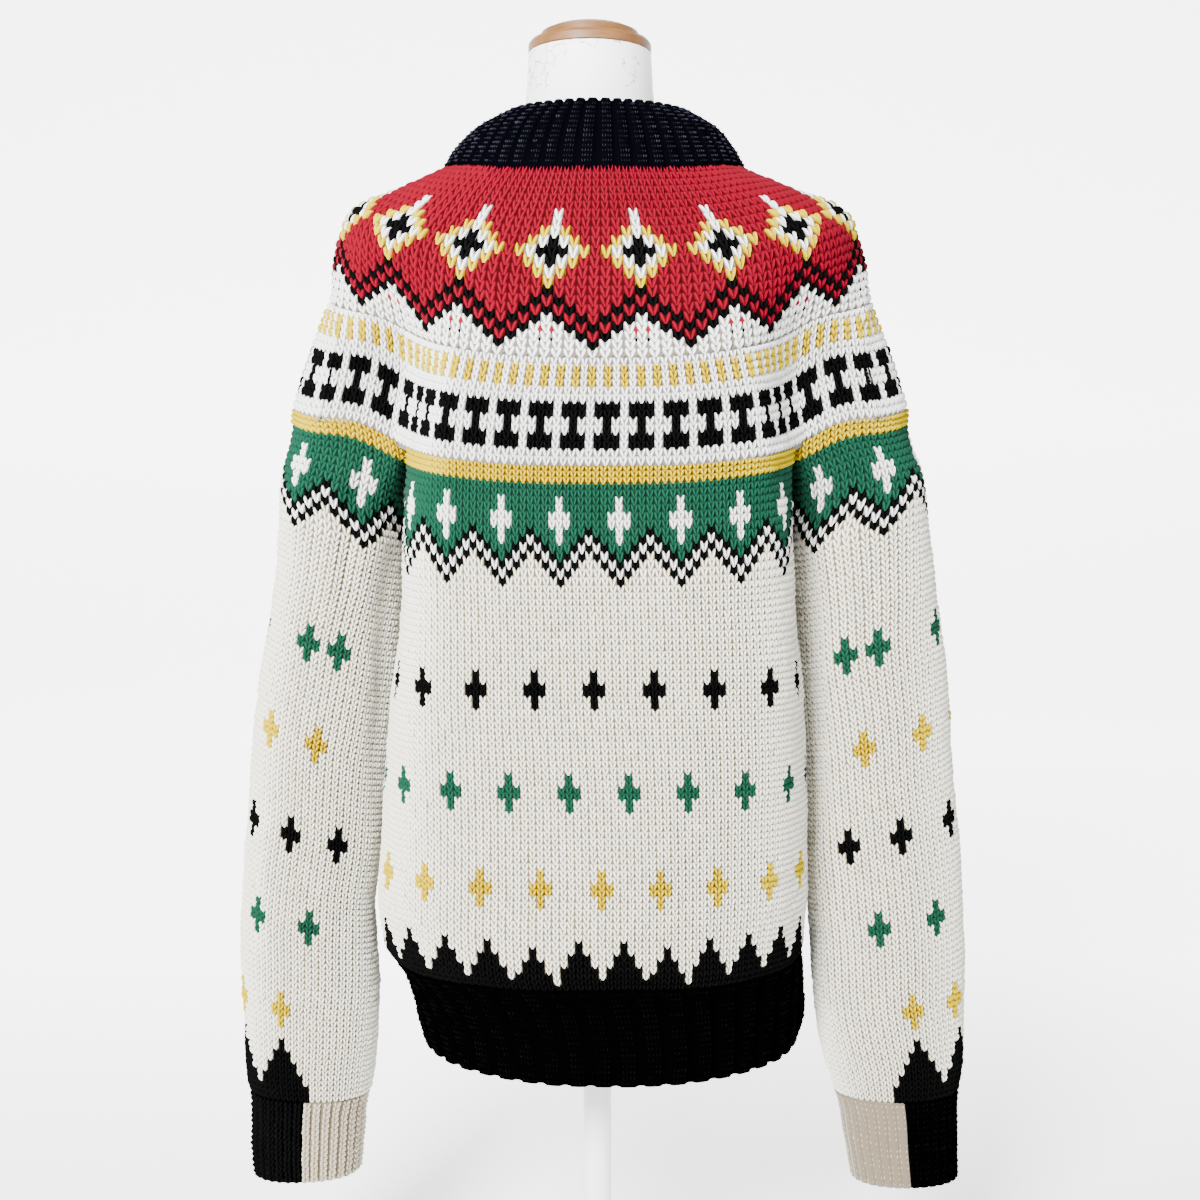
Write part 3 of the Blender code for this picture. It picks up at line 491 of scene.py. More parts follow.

# %% [markdown]
# ## Wool
#
# Knitting yarn is two or three plies twisted together, with loose fibres standing off it. Three
# effects are shared by every wool here, so each is a node group: a fuzz of fine noise that
# gives a mottle of tone and a height, the slant of the plies along each leg of a stitch, and a
# crest that is 1 on top of a leg and falls to 0 in the gaps and at the leg's point. Where the
# crest falls, a painted shade is mixed in: each yarn's deep colour stands for the shade there.
# The red and the green are brushed, so they get more fuzz and less of the ply.

# %% Node helpers
def new_group(name, inputs, outputs):
    """An empty shader node group with named sockets."""
    group = bpy.data.node_groups.new(name, "ShaderNodeTree")
    for socket, default in inputs:
        made = group.interface.new_socket(socket, in_out="INPUT", socket_type="NodeSocketFloat")
        made.default_value = default
    for socket in outputs:
        group.interface.new_socket(socket, in_out="OUTPUT", socket_type="NodeSocketFloat")
    group.nodes.new("NodeGroupInput")
    group.nodes.new("NodeGroupOutput")
    return group


def put(tree, kind, **values):
    """A node with its properties or input values set by name."""
    node = tree.nodes.new(kind)
    for key, value in values.items():
        if hasattr(node, key):
            setattr(node, key, value)
        else:
            node.inputs[key.replace("_", " ")].default_value = value
    return node


def math_node(tree, operation, a, b):
    """A Math node fed by sockets or numbers."""
    node = tree.nodes.new("ShaderNodeMath")
    node.operation = operation
    for socket, value in zip(node.inputs, (a, b)):
        if isinstance(value, (int, float)):
            socket.default_value = value
        else:
            tree.links.new(value, socket)
    return node.outputs[0]


def ends(group):
    """The input and output nodes of a group."""
    found = {n.bl_idname: n for n in group.nodes}
    return found["NodeGroupInput"], found["NodeGroupOutput"]


def noise(tree, **values):
    """A noise texture over the piece's own coordinates."""
    place = put(tree, "ShaderNodeTexCoord")
    made = put(tree, "ShaderNodeTexNoise", **values)
    tree.links.new(place.outputs["Object"], made.inputs["Vector"])
    return made


def leg_place(tree):
    """Across and along a stitch's leg, each from 0 to 1."""
    leg_map = put(tree, "ShaderNodeUVMap", uv_map="leg")
    split = put(tree, "ShaderNodeSeparateXYZ")
    tree.links.new(leg_map.outputs["UV"], split.inputs["Vector"])
    return split.outputs["X"], split.outputs["Y"]


def raise_bump(tree, shader, height, strength, distance):
    """A bump of a height that feeds the shader's normal."""
    bump = put(tree, "ShaderNodeBump", Strength=strength, Distance=distance)
    tree.links.new(height, bump.inputs["Height"])
    tree.links.new(bump.outputs["Normal"], shader.inputs["Normal"])


# %% Fuzz, ply and crest groups
FULL_TURN = 6.283  # radians
# The leg's dark point is painted shade, where it tucks in between the arms of the V below.
POINT_SHARE = 0.22  # length of the leg's dark point, as a share of the leg

wool_fuzz = new_group("wool_fuzz", [("Fineness", 900.0)], ["Shade", "Height"])
source, result = ends(wool_fuzz)
fine = noise(wool_fuzz, Detail=3.0, Roughness=0.7)
wool_fuzz.links.new(source.outputs["Fineness"], fine.inputs["Scale"])
broad = noise(wool_fuzz, Scale=34.0, Detail=2.0)
shade = math_node(wool_fuzz, "MULTIPLY", fine.outputs["Fac"], 0.65)
patches = math_node(wool_fuzz, "MULTIPLY", broad.outputs["Fac"], 0.35)
shade = math_node(wool_fuzz, "ADD", shade, patches)
wool_fuzz.links.new(shade, result.inputs["Shade"])
wool_fuzz.links.new(fine.outputs["Fac"], result.inputs["Height"])

ply_twist = new_group("ply_twist", [("Turns", 3.0)], ["Height"])
source, result = ends(ply_twist)
across, down = leg_place(ply_twist)
slant = math_node(ply_twist, "MULTIPLY", down, source.outputs["Turns"])
slant = math_node(ply_twist, "ADD", slant, across)
wave = math_node(ply_twist, "SINE", math_node(ply_twist, "MULTIPLY", slant, FULL_TURN), 0.0)
wave = math_node(ply_twist, "ADD", math_node(ply_twist, "MULTIPLY", wave, 0.5), 0.5)
ply_twist.links.new(wave, result.inputs["Height"])

# The crest is the mask of the painted shade: 1 on a leg's top, 0 in the gaps and at its point, where the
# yarn's deep colour is mixed in.
leg_crest = new_group("leg_crest", [("Width", 0.7)], ["Crest"])
source, result = ends(leg_crest)
across, down = leg_place(leg_crest)
aside = math_node(leg_crest, "SUBTRACT", across, 0.5)
aside = math_node(leg_crest, "MULTIPLY", math_node(leg_crest, "ABSOLUTE", aside, 0.0), 2.0)
crest = math_node(leg_crest, "SUBTRACT", 1.0, aside)
crest = math_node(leg_crest, "DIVIDE", crest, source.outputs["Width"])
tail = math_node(leg_crest, "DIVIDE", down, POINT_SHARE)
crest = math_node(leg_crest, "MINIMUM", math_node(leg_crest, "MINIMUM", crest, tail), 1.0)
leg_crest.links.new(crest, result.inputs["Crest"])
print("groups", [g.name for g in bpy.data.node_groups])


# %% Yarn materials
def use_group(tree, group, **values):
    """A node group placed in a material with its own values."""
    node = tree.nodes.new("ShaderNodeGroup")
    node.node_tree = group
    for key, value in values.items():
        node.inputs[key].default_value = value
    return node


def blend_colour(tree, factor, low, high):
    """A colour that runs from low to high with a factor."""
    mix = tree.nodes.new("ShaderNodeMix")
    mix.data_type = "RGBA"
    mix.inputs["A"].default_value = (*low, 1.0)
    mix.inputs["B"].default_value = (*high, 1.0)
    tree.links.new(factor, mix.inputs["Factor"])
    return mix.outputs["Result"]


def yarn(name, deep, low, high, fuzz=0.35, ply=0.5, sheen=0.3, fineness=900.0, width=0.85):
    """Wool yarn. deep is a painted shade for the gaps between the stitches and the cloth under them, low to
    high its mottle on the legs.
    """
    made = bpy.data.materials.new(name)
    made.use_nodes = True
    tree = made.node_tree
    shader = tree.nodes["Principled BSDF"]
    shader.inputs["Roughness"].default_value = 0.92
    shader.inputs["Specular IOR Level"].default_value = 0.05 if sheen > 0.0 else 0.0
    shader.inputs["Sheen Weight"].default_value = sheen
    shader.inputs["Sheen Roughness"].default_value = 0.5
    wool = use_group(tree, wool_fuzz, Fineness=fineness)
    plies = use_group(tree, ply_twist, Turns=3.0)
    crest = use_group(tree, leg_crest, Width=width)
    mottle = blend_colour(tree, wool.outputs["Shade"], low, high)
    # Painted shade: the deep colour fills where the crest falls to 0, the mottle where it is 1.
    colour = blend_colour(tree, crest.outputs["Crest"], deep, high)
    tree.links.new(mottle, colour.node.inputs["B"])
    tree.links.new(colour, shader.inputs["Base Color"])
    height = math_node(tree, "MULTIPLY", wool.outputs["Height"], fuzz)
    twist = math_node(tree, "MULTIPLY", plies.outputs["Height"], ply)
    raise_bump(tree, shader, math_node(tree, "ADD", height, twist), 0.55, 0.0007)
    return made


# Each yarn's deep colour, a painted shade for the gaps between the legs and the cloth under them, then the
# low and high ends of its mottle
YARN_COLOURS = {
    "red": ((0.030, 0.0, 0.001), (0.12, 0.0, 0.006), (0.23, 0.0, 0.014)),
    "black": ((0.0003,) * 3, (0.0011,) * 3, (0.0055,) * 3),
    "white": ((0.13, 0.125, 0.12), (0.84, 0.84, 0.82), (0.98, 0.98, 0.96)),
    "ivory": ((0.12, 0.10, 0.065), (0.82, 0.79, 0.65), (0.97, 0.95, 0.83)),
    "yellow": ((0.10, 0.048, 0.0), (0.47, 0.32, 0.0), (0.64, 0.49, 0.0)),
    "green": ((0.001, 0.012, 0.006), (0.003, 0.042, 0.021), (0.009, 0.080, 0.046)),
    # The navy's mottle is its own, but its high end is raised so that its bright flecks also stand for
    # painted highlights on the collar's ribs.
    "navy": ((0.0008, 0.0008, 0.0015), (0.007, 0.007, 0.012), (0.046, 0.046, 0.068)),
    # Ivory yarn darkened as painted shade, for the cuffs' side towards the body and for the eyelets.
    "cuff": ((0.15, 0.12, 0.08), (0.44, 0.38, 0.28), (0.60, 0.53, 0.41)),
}
BRUSHED = {"fuzz": 1.0, "ply": 0.1, "sheen": 0.02, "fineness": 700.0}
DARK = {"fuzz": 0.5, "sheen": 0.0}
FINISHES = {"red": BRUSHED, "green": BRUSHED, "black": DARK, "navy": DARK, "yellow": {"sheen": 0.0}}
YARNS = {
    name: yarn(name + "_wool", *colours, **FINISHES.get(name, {}))
    for name, colours in YARN_COLOURS.items()
}
YARN_NAMES = list(YARNS)
NUMBER = {name: i for i, name in enumerate(YARN_NAMES)}
print("yarns", YARN_NAMES)

# %% [markdown]
# ## Stitches
#
# Stocking stitch shows columns of small letters V. Each V has two legs, shaped like slim
# leaves that lean outwards and up, and its point sits between the arms of the V below. One
# leg is modelled as four short rings of three points, or three rings in a rib, and it is
# copied to every stitch by plain arrays: the shares across and down place each ring in its
# own stitch, whatever the size and slope of the cloth there. The colour of a stitch comes
# from a chart, as in a knitter's pattern, and picks the yarn for the legs and for the cloth
# under them.

# %% One stitch leg
# Rings of a leg: share down and across the stitch, half width, share of the crest's height
LEG = np.array([
    (-0.24, 0.115, 0.085, 0.40),
    (0.12, 0.195, 0.195, 1.00),
    (0.58, 0.310, 0.200, 0.96),
    (1.10, 0.450, 0.085, 0.12),
])
RIB_LEG = np.array([
    (-0.24, 0.115, 0.085, 0.40),
    (0.35, 0.250, 0.210, 1.00),
    (1.10, 0.450, 0.085, 0.12),
])
SHELL_DEPTH = 0.0012  # how far the cloth under the stitches lies inside the solid's surface
CREST = 0.0012  # how far a stitch stands out of the solid's surface
SUNK = 0.0001  # how far the rim of a leg sinks into the cloth
SIDEWAYS, UNEVEN_WIDTH, UNEVEN_HEIGHT = 0.018, 0.06, 0.10  # spread of the stitches' faults

# Brushed wool lies flatter and fuller, and the yellow yarn is a thicker one
FATNESS = {"red": 1.1, "green": 1.1, "black": 1.08, "yellow": 1.12}
TALLNESS = {"red": 0.9, "green": 0.9, "yellow": 1.35}


def pick(grid, r, c, closed):
    """Values of a lattice at fractional rows and columns."""
    rows = grid.shape[0] - 1
    r = np.clip(r, 0.0, rows)
    i = np.minimum(r.astype(int), rows - 1)
    fr = (r - i)[..., None]
    if closed:
        columns = grid.shape[1]
        c = c % columns
        j = np.minimum(c.astype(int), columns - 1)
        k = (j + 1) % columns
    else:
        columns = grid.shape[1] - 1
        c = np.clip(c, 0.0, columns)
        j = np.minimum(c.astype(int), columns - 1)
        k = j + 1
    fc = (c - j)[..., None]
    upper = grid[i, j] * (1 - fc) + grid[i, k] * fc
    lower = grid[i + 1, j] * (1 - fc) + grid[i + 1, k] * fc
    return upper * (1 - fr) + lower * fr


def placed(mesh):
    """A mesh as a piece of the garment or its stand."""
    made = bpy.data.objects.new(mesh.name, mesh)
    scene.collection.objects.link(made)
    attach(made, "root")
    return made


def add_mesh(name, points, faces, yarn_of_face, uv=None):
    """A mesh object made from arrays, with the yarns as its materials."""
    mesh = bpy.data.meshes.new(name)
    size = faces.shape[1]
    mesh.vertices.add(len(points))
    mesh.vertices.foreach_set("co", points.astype(np.float32).ravel())
    mesh.loops.add(faces.size)
    mesh.loops.foreach_set("vertex_index", faces.astype(np.int32).ravel())
    mesh.polygons.add(len(faces))
    mesh.polygons.foreach_set("loop_start", np.arange(0, faces.size, size, dtype=np.int32))
    used = sorted(set(np.unique(yarn_of_face).tolist()))
    lookup = np.zeros(len(YARN_NAMES), dtype=np.int32)
    for i, number in enumerate(used):
        mesh.materials.append(YARNS[YARN_NAMES[number]])
        lookup[number] = i
    mesh.polygons.foreach_set("material_index", lookup[yarn_of_face])
    if uv is not None:
        layer = mesh.uv_layers.new(name="leg")
        layer.data.foreach_set("uv", uv[faces.ravel()].astype(np.float32).ravel())
    mesh.update()
    mesh.validate()
    mesh.shade_smooth()
    return placed(mesh)


def leg_arrays(cloth, rows, columns, yarns, seed, wide=1.0, lift=1.0, shape=LEG):
    """Points, faces, yarns and leg map of V stitches at given rows and columns of a cloth."""
    grid, normal, closed = cloth["grid"], cloth["normal"], cloth["closed"]
    count = len(rows)
    rng = np.random.default_rng(seed)
    fatness = np.array([FATNESS.get(name, 1.0) for name in YARN_NAMES])[yarns]
    tallness = np.array([TALLNESS.get(name, 1.0) for name in YARN_NAMES])[yarns]
    points = np.zeros((count, 2, len(shape), 3, 3))
    uv = np.zeros((count, 2, len(shape), 3, 2))
    drift = rng.normal(0.0, SIDEWAYS, count)
    fat = (1.0 + rng.normal(0.0, UNEVEN_WIDTH, count)) * fatness
    tall = (1.0 + rng.normal(0.0, UNEVEN_HEIGHT, count)) * tallness * lift
    for leg in range(2):
        for ring, (down, middle, half, high) in enumerate(shape):
            for side in (-1, 0, 1):
                across = middle + side * half * fat
                across = across if leg == 0 else 1.0 - across
                r, c = rows + down, columns + (across + drift) * wide
                out = -SHELL_DEPTH + ((CREST + SHELL_DEPTH) * high * tall if side == 0 else -SUNK)
                up = pick(normal, r, c, closed) * np.reshape(out, (-1, 1))
                points[:, leg, ring, side + 1] = pick(grid, r, c, closed) + up
                place = (0.5 + 0.5 * side * (1 - 2 * leg), ring / (len(shape) - 1.0))
                uv[:, leg, ring, side + 1] = place
    strip = []
    for ring in range(len(shape) - 1):
        for side in range(2):
            a = ring * 3 + side
            strip.append((a, a + 3, a + 4, a + 1))
    strip = np.array(strip)
    per_leg = len(shape) * 3
    quads = np.concatenate([strip, strip[:, ::-1] + per_leg])
    faces = (np.arange(count)[:, None, None] * per_leg * 2 + quads[None]).reshape(-1, 4)
    return points.reshape(-1, 3), faces, np.repeat(yarns, len(quads)), uv.reshape(-1, 2)


SPECK_LIFT = 0.0002


def speck_arrays(cloth, spots):
    """Small lozenges between the stitches: holes and bits of another yarn.

    spots has a row, a column, half a width, half a height, a yarn and a place on the leg map.
    """
    points, uv, yarns = [], [], []
    for row, column, wide, high, name, across in spots:
        r = np.array([row - high, row, row + high, row])
        c = np.array([column, column - wide, column, column + wide])
        up = pick(cloth["normal"], r, c, cloth["closed"])
        points.append(pick(cloth["grid"], r, c, cloth["closed"]) + up * SPECK_LIFT)
        uv.append([(across, across)] * 4)
        yarns.append(NUMBER[name])
    faces = np.arange(4 * len(spots)).reshape(-1, 4)
    return np.concatenate(points), faces, np.array(yarns), np.array(uv).reshape(-1, 2)


NARROWEST_FACE = 0.00015  # what a seam cuts narrower than this is left out


def cloth_arrays(cloth, tuck=0.0):
    """The cloth under the stitches: one face for each stitch, in that stitch's yarn, which shows there only
    in its deep colour, a painted shade, as this cloth has no leg map.

    tuck carries its last row a little way down behind the next piece.
    """
    grid = cloth["grid"] - cloth["normal"] * SHELL_DEPTH
    yarns = cloth["yarns"]
    if tuck > 0:
        down = grid[-1] - grid[-2]
        down /= np.linalg.norm(down, axis=-1, keepdims=True)
        more = grid[-1] + down * tuck - cloth["normal"][-1] * 0.3 * tuck
        grid = np.concatenate([grid, more[None]])
        yarns = np.concatenate([yarns, yarns[-1:]])
    rows, columns = grid.shape[:2]
    wide = columns if cloth["closed"] else columns - 1
    i, j = np.meshgrid(np.arange(rows - 1), np.arange(wide), indexing="ij")
    k = (j + 1) % columns
    upper, lower = i * columns, (i + 1) * columns
    faces = np.stack([upper + j, lower + j, lower + k, upper + k], axis=-1)
    faces, yarns = faces.reshape(-1, 4), yarns.ravel()
    corners = grid.reshape(-1, 3)[faces]
    wide_enough = np.linalg.norm(corners[:, 3] - corners[:, 0], axis=1) > NARROWEST_FACE
    return grid.reshape(-1, 3), faces[wide_enough], yarns[wide_enough]


def joined(parts):
    """Several arrays of points and faces as one."""
    start, faces = 0, []
    for part in parts:
        faces.append(part[1] + start)
        start += len(part[0])
    columns = [np.concatenate([part[k] for part in parts]) for k in range(len(parts[0])) if k != 1]
    return [columns[0], np.concatenate(faces)] + columns[1:]


# %% [markdown]
# ## Charts
#
# Each band is a small repeat of 2, 4, 6 or 8 stitches, written out as rows of letters, and
# the two zigzags follow a rule: a line that drops one row for each stitch away from its peak.

# %% Charts of the bands
LETTERS = {"R": "red", "K": "black", "W": "white", "Y": "yellow", "G": "green", "I": "ivory"}
DIAMOND = ["...W....", "...W....", "..YWY...", ".YWKWY..", "YWKKKWY.", ".YWKWY..", "..YWY...", "...Y...."]
HOURGLASS = ["KKK.", "KKK.", ".K..", ".K..", "KKK.", "KKK."]
CROSS = [".X.", ".X.", "XXX", "XXX", ".X.", ".X."]
TOOTH = [1, 1, 3, 3, 5, 5]
SHORT_TEETH = (-9, 9)  # two points at the hem start a row later than the rest
print("charts", len(DIAMOND), "rows of diamonds,", len(HOURGLASS), "rows of blocks")


def away(k, repeat, centre):
    """How many stitches k lies from the nearest repeat of a motif's centre, with its sign."""
    return (k - centre + repeat // 2) % repeat - repeat // 2


def yoke_chart(row, k):
    """The yarn of the yoke's stitch k, counted from the middle, in a row from the collar."""
    c = abs(away(k, 8, 4))
    if row < 6:
        return "red"
    if row < 14:
        letter = DIAMOND[row - 6][away(k, 8, 4) + 3] if c < 4 else "."
        return LETTERS.get(letter, "red")
    if row < 21:
        at = row - 14
        if c == at or c == at - 2:
            return "black"
        return "red" if c >= at - 1 else "white"
    if 23 <= row < 26:
        return "yellow" if k % 2 == 0 else "white"
    if 28 <= row < 34:
        letter = HOURGLASS[row - 28][(away(k, 4, 2) + 1) % 4]
        return LETTERS.get(letter, "white")
    return "white"


def lower_chart(row, k, peak):
    """The yarn of body and sleeve under the yoke: yellow, green with crosses, zigzag."""
    if row < 3:
        return "yellow"
    apart = away(k, 8, peak)
    if 5 <= row < 11 and abs(away(k, 8, peak + 4)) < 2:
        if CROSS[row - 5][away(k, 8, peak + 4) + 1] == "X":
            return "white"
    at = row - 9  # rows below the first peak of the zigzag
    c = abs(apart)
    if at < 0 or c > at:
        return "green"
    if c == at or c == at - 2:
        return "black"
    return "white" if c == at - 1 else "ivory"


def tooth(row, k, repeat, peak, widths):
    """Whether a stitch lies in the black points above a ribbed band."""
    if row < 0:
        return False
    return abs(away(k, repeat, peak)) <= (widths[row] - 1) // 2 if row < len(widths) else True


# %% [markdown]
# ## Laying the stitches on the form
#
# Every piece gets a lattice of lines: across it one line between each two rows, and down it
# one between each two columns of stitches. The counts follow the garment: 184 stitches round
# the body, 56 round a sleeve, and a yoke that gains stitches below its red zigzag. Columns
# are even in width, so they are spaced by length along the cloth from a middle column that
# wanders a little from side to side. At the yoke's slanting side seams they are cut off. A
# slight waver keeps the surface from looking machined.

# %% Lattices
# Where the middle column of the back wanders: height or row, and place round the piece
BODY_MIDDLE = np.array([(0.3145, -0.025), (0.33, -0.030), (0.385, -0.025), (0.455, -0.011),
                        (0.52, 0.0105), (0.60, 0.024), (0.66, 0.031), (0.6793, 0.0345)])
YOKE_MIDDLE = np.array([(0, -0.009), (6, -0.001), (10, 0.003), (14, 0.010), (20, 0.015),
                        (25, 0.018), (30, 0.022), (36, 0.025)])


def waver(points):
    """A slight unevenness of the surface that neighbouring pieces share."""
    x, y, z = points[..., 0], points[..., 1], points[..., 2]
    wide = np.sin(58 * x + 2.0 * np.sin(31 * z)) * np.sin(47 * z + 33 * y + 1.3)
    fine = np.sin(130 * x + 90 * z + 1.0) * np.sin(118 * z - 70 * y)
    return 0.0006 * wide + 0.00025 * fine


def cloth_of(grid, sign, closed, yarns, ridge=None):
    """A lattice with its outward normals and the yarn of each of its stitches."""
    normal = sign * surface_normals(grid, closed)
    out = waver(grid) if ridge is None else waver(grid) + ridge
    moved = grid + normal * out[..., None]
    normal = sign * surface_normals(moved, closed)
    return {"grid": moved, "normal": normal, "closed": closed, "yarns": yarns}


def even_lines(surface, edges, middle, ends, cut, half):
    """Places of column edges that are even in length on both sides of a middle one.

    Half the columns, half, lie between the middle and each of the ends. cut is where the
    seams are, and no edge goes past them.
    """
    q = np.linspace(min(ends[0], cut[0]), max(ends[1], cut[1]), 260)
    points = surface(q)
    length = np.concatenate([[0.0], np.cumsum(np.linalg.norm(np.diff(points, axis=0), axis=1))])
    at, low, high = np.interp([middle, ends[0], ends[1]], q, length)
    pitch = np.where(edges < 0, at - low, high - at) / half
    return np.clip(np.interp(at + edges * pitch, length, q), cut[0], cut[1])


SEAM_RIDGE = 0.0022  # height of the ridge that the seam raises
SEAM_WIDTH = 0.006
SHARE_LENGTH = 0.24  # about the length of a quarter of the yoke's ring


def yoke_cloth(front, first, last, half, outer):
    """Part of the yoke's back or front between two rows.

    half is the number of columns from the middle to the shoulder line, and outer the number
    that are laid out before the seam cuts them.
    """
    edges = np.arange(-outer, outer + 2) - 0.5
    base = 2.0 if front else 0.0
    grid, ridge = [], []
    for line in np.arange(first, last + 1):
        seam = float(seam_share(line))
        side = (2.0 - seam) if front else seam
        middle = base if front else float(np.interp(line, YOKE_MIDDLE[:, 0], YOKE_MIDDLE[:, 1]))
        q = even_lines(lambda v: yoke_point(v, float(line)), edges, middle,
                       (base - 1.0, base + 1.0), (base - side, base + side), half)
        grid.append(yoke_point(q, float(line)))
        apart = np.minimum(q - base + side, base + side - q) * SHARE_LENGTH
        grows = float(smooth((line - 11.0) / 4.0))
        ridge.append(SEAM_RIDGE * grows * np.exp(-((apart / SEAM_WIDTH) ** 2)))
    lines = np.arange(first, last)
    yarns = np.array([[NUMBER[yoke_chart(r, n)] for n in range(-outer, outer + 1)] for r in lines])
    return cloth_of(np.array(grid), 1.0, False, yarns, np.array(ridge))


def yoke_specks(outer):
    """Eyelets between the columns above the yellow ticks, and red bits under the peaks.

    An eyelet is a lozenge of painted shade, in the deep colour of the ivory yarn that is darkened for the
    cuffs, or beside a peak of the black yarn, as the hole shows cloth in shade.
    """
    spots = []
    for i in range(2, 2 * outer):
        c = away(i - outer, 8, 4)
        beside_peak = c in (0, 1)
        # Eyelets: lozenges of painted shade in the darkened ivory yarn's deep colour.
        for row in (20.85, 21.7):
            spots.append((row, float(i), 0.17, 0.26, "cuff", 0.0))
        if beside_peak:
            spots.append((18.75, float(i), 0.21, 0.55, "red", 0.45))
        # Specks under the zigzag: the black yarn beside a peak, the darkened ivory elsewhere, both in their
        # deep colour as painted shade.
        if abs(c - 0.5) < 2.0:
            spots.append((19.9, float(i), 0.16, 0.26, "black" if beside_peak else "cuff", 0.0))
    return spots


# Heights of the bands' rows: yellow stripe, green, green with crosses, and the zigzag's end
BAND_ROWS = [0.00403] * 3 + [0.00475] * 2 + [0.0053] * 6 + [0.00578] * 5
BAND_END = sum(BAND_ROWS)
PLAIN_ROW = 0.0045


def levels(top, bottom):
    """Heights of the lines between rows: the bands, then even rows down to the rib."""
    down = np.concatenate([[0.0], np.cumsum(BAND_ROWS)])
    plain = max(1, round((top - BAND_END - bottom) / PLAIN_ROW))
    rest = np.linspace(top - BAND_END, bottom, plain + 1)[1:]
    return np.concatenate([top - down, rest])


# Rows of crosses: first plain row, yarn, column of one cross
BODY_MOTIFS = ((13, "black", 0), (29, "green", 4), (44, "yellow", 0))
HEM_POINT_ROWS = 8
BACK_STITCHES, FRONT_STITCHES = 93, 91


def body_chart(row, k, last):
    """The yarn of the body's stitch k, counted from the middle back."""
    if row < len(BAND_ROWS):
        return lower_chart(row, k, 0)
    plain = row - len(BAND_ROWS)
    for start, name, centre in BODY_MOTIFS:
        c = away(k, 8, centre)
        if start <= plain < start + 6 and abs(c) < 2 and CROSS[plain - start][c + 1] == "X":
            return name
    late = 1 if k - away(k, 6, 3) in SHORT_TEETH else 0
    points = tooth(row - (last - HEM_POINT_ROWS) - late, k, 6, 3, TOOTH)
    return "black" if points else "ivory"


def body_cloth(front):
    """The body's back or front. Two columns more on each side keep the normals even there."""
    z = levels(TOP_Z, BODY_END + 0.0002)
    stitches = FRONT_STITCHES if front else BACK_STITCHES
    half = 0.5 * stitches
    base = 2.0 if front else 0.0
    edges = np.arange(-half, half + 1.0)
    grid = []
    for h in z:
        wander = 0.0 if front else float(np.interp(h, BODY_MIDDLE[:, 0], BODY_MIDDLE[:, 1]))
        sides = (base - 1.0, base + 1.0)
        q = even_lines(lambda v: body_ring(h, v), edges, base + wander, sides, sides, half)
        before, after = q[1] - q[0], q[-1] - q[-2]
        left, right = [q[0] - 2 * before, q[0] - before], [q[-1] + after, q[-1] + 2 * after]
        grid.append(body_ring(h, np.concatenate([left, q, right])))
    last = len(z) - 1
    first = BACK_STITCHES // 2 + 1 if front else -(BACK_STITCHES // 2)
    k = np.arange(first, first + stitches)
    yarns = np.array([[NUMBER[body_chart(r, int(n), last)] for n in k] for r in range(last)])
    whole = cloth_of(np.array(grid), 1.0, False, yarns)
    inner = slice(2, 3 + stitches)
    return {"grid": whole["grid"][:, inner], "normal": whole["normal"][:, inner],
            "closed": False, "yarns": yarns}


# %% Sleeves
SLEEVE_STITCHES = 56
SPREAD_WAVE = 8.91  # stitches to a radian round the sleeve
SPREAD_MIDDLE = 12.0  # stitch round which the columns are spread
CUFF_POINT_ROWS = 11
POINTS_BETWEEN = (-12, 17)  # the cuff's black points reach this far from the outer side

# Columns wander round a sleeve, and near its top they are spread on the side of the back:
# height, shift and spread in stitches
WANDER_LEFT = np.array([(0.193, -1.4, 0.0), (0.265, -1.6, 0.0), (0.33, -0.9, 0.03), (0.40, -0.3, 0.0),
                        (0.47, -0.7, 0.03), (0.55, 0.1, 0.12), (0.59, 1.2, 0.22), (0.635, 2.0, 0.29),
                        (0.677, 0.0, 0.16), (0.7083, -1.9, 0.10)])
WANDER_RIGHT = np.array([(0.193, -0.9, 0.0), (0.22, -0.9, 0.0), (0.27, -0.1, 0.0), (0.337, 0.1, 0.0),
                         (0.407, 0.5, 0.0), (0.47, 0.6, 0.0), (0.55, 1.2, 0.1), (0.59, 1.0, 0.2),
                         (0.636, 0.6, 0.28), (0.68, -1.8, 0.02), (0.7083, -2.6, 0.0)])
# Rows of crosses: first row, yarn, and the stitches of their centres, counted from the outer
# side over the back
MOTIFS_LEFT = ((31, "green", (2.0, 12.1, 16.5, -6.0, -14.0)), (47, "yellow", (7.2, 14.9, -1.0, -9.0)),
               (63, "black", (4.2, 11.9, 18.5, -4.0, -12.0)), (78, "green", (6.7, 15.3, -1.5, -9.5)),
               (93, "yellow", (10.2, 2.2, -6.0)))
MOTIFS_RIGHT = ((31, "green", (4.4, 14.0, 18.7, -4.0, -12.0)), (47, "yellow", (8.6, 16.6, 0.5, -7.5)),
                (63, "black", (4.9, 12.7, 19.0, -3.0, -11.0)), (78, "green", (8.0, 16.3, 0.0, -8.0)),
                (93, "yellow", (11.6, 4.4, -3.5)))
CUFF_TEETH = [1, 1, 3, 3, 5, 5, 7, 7]
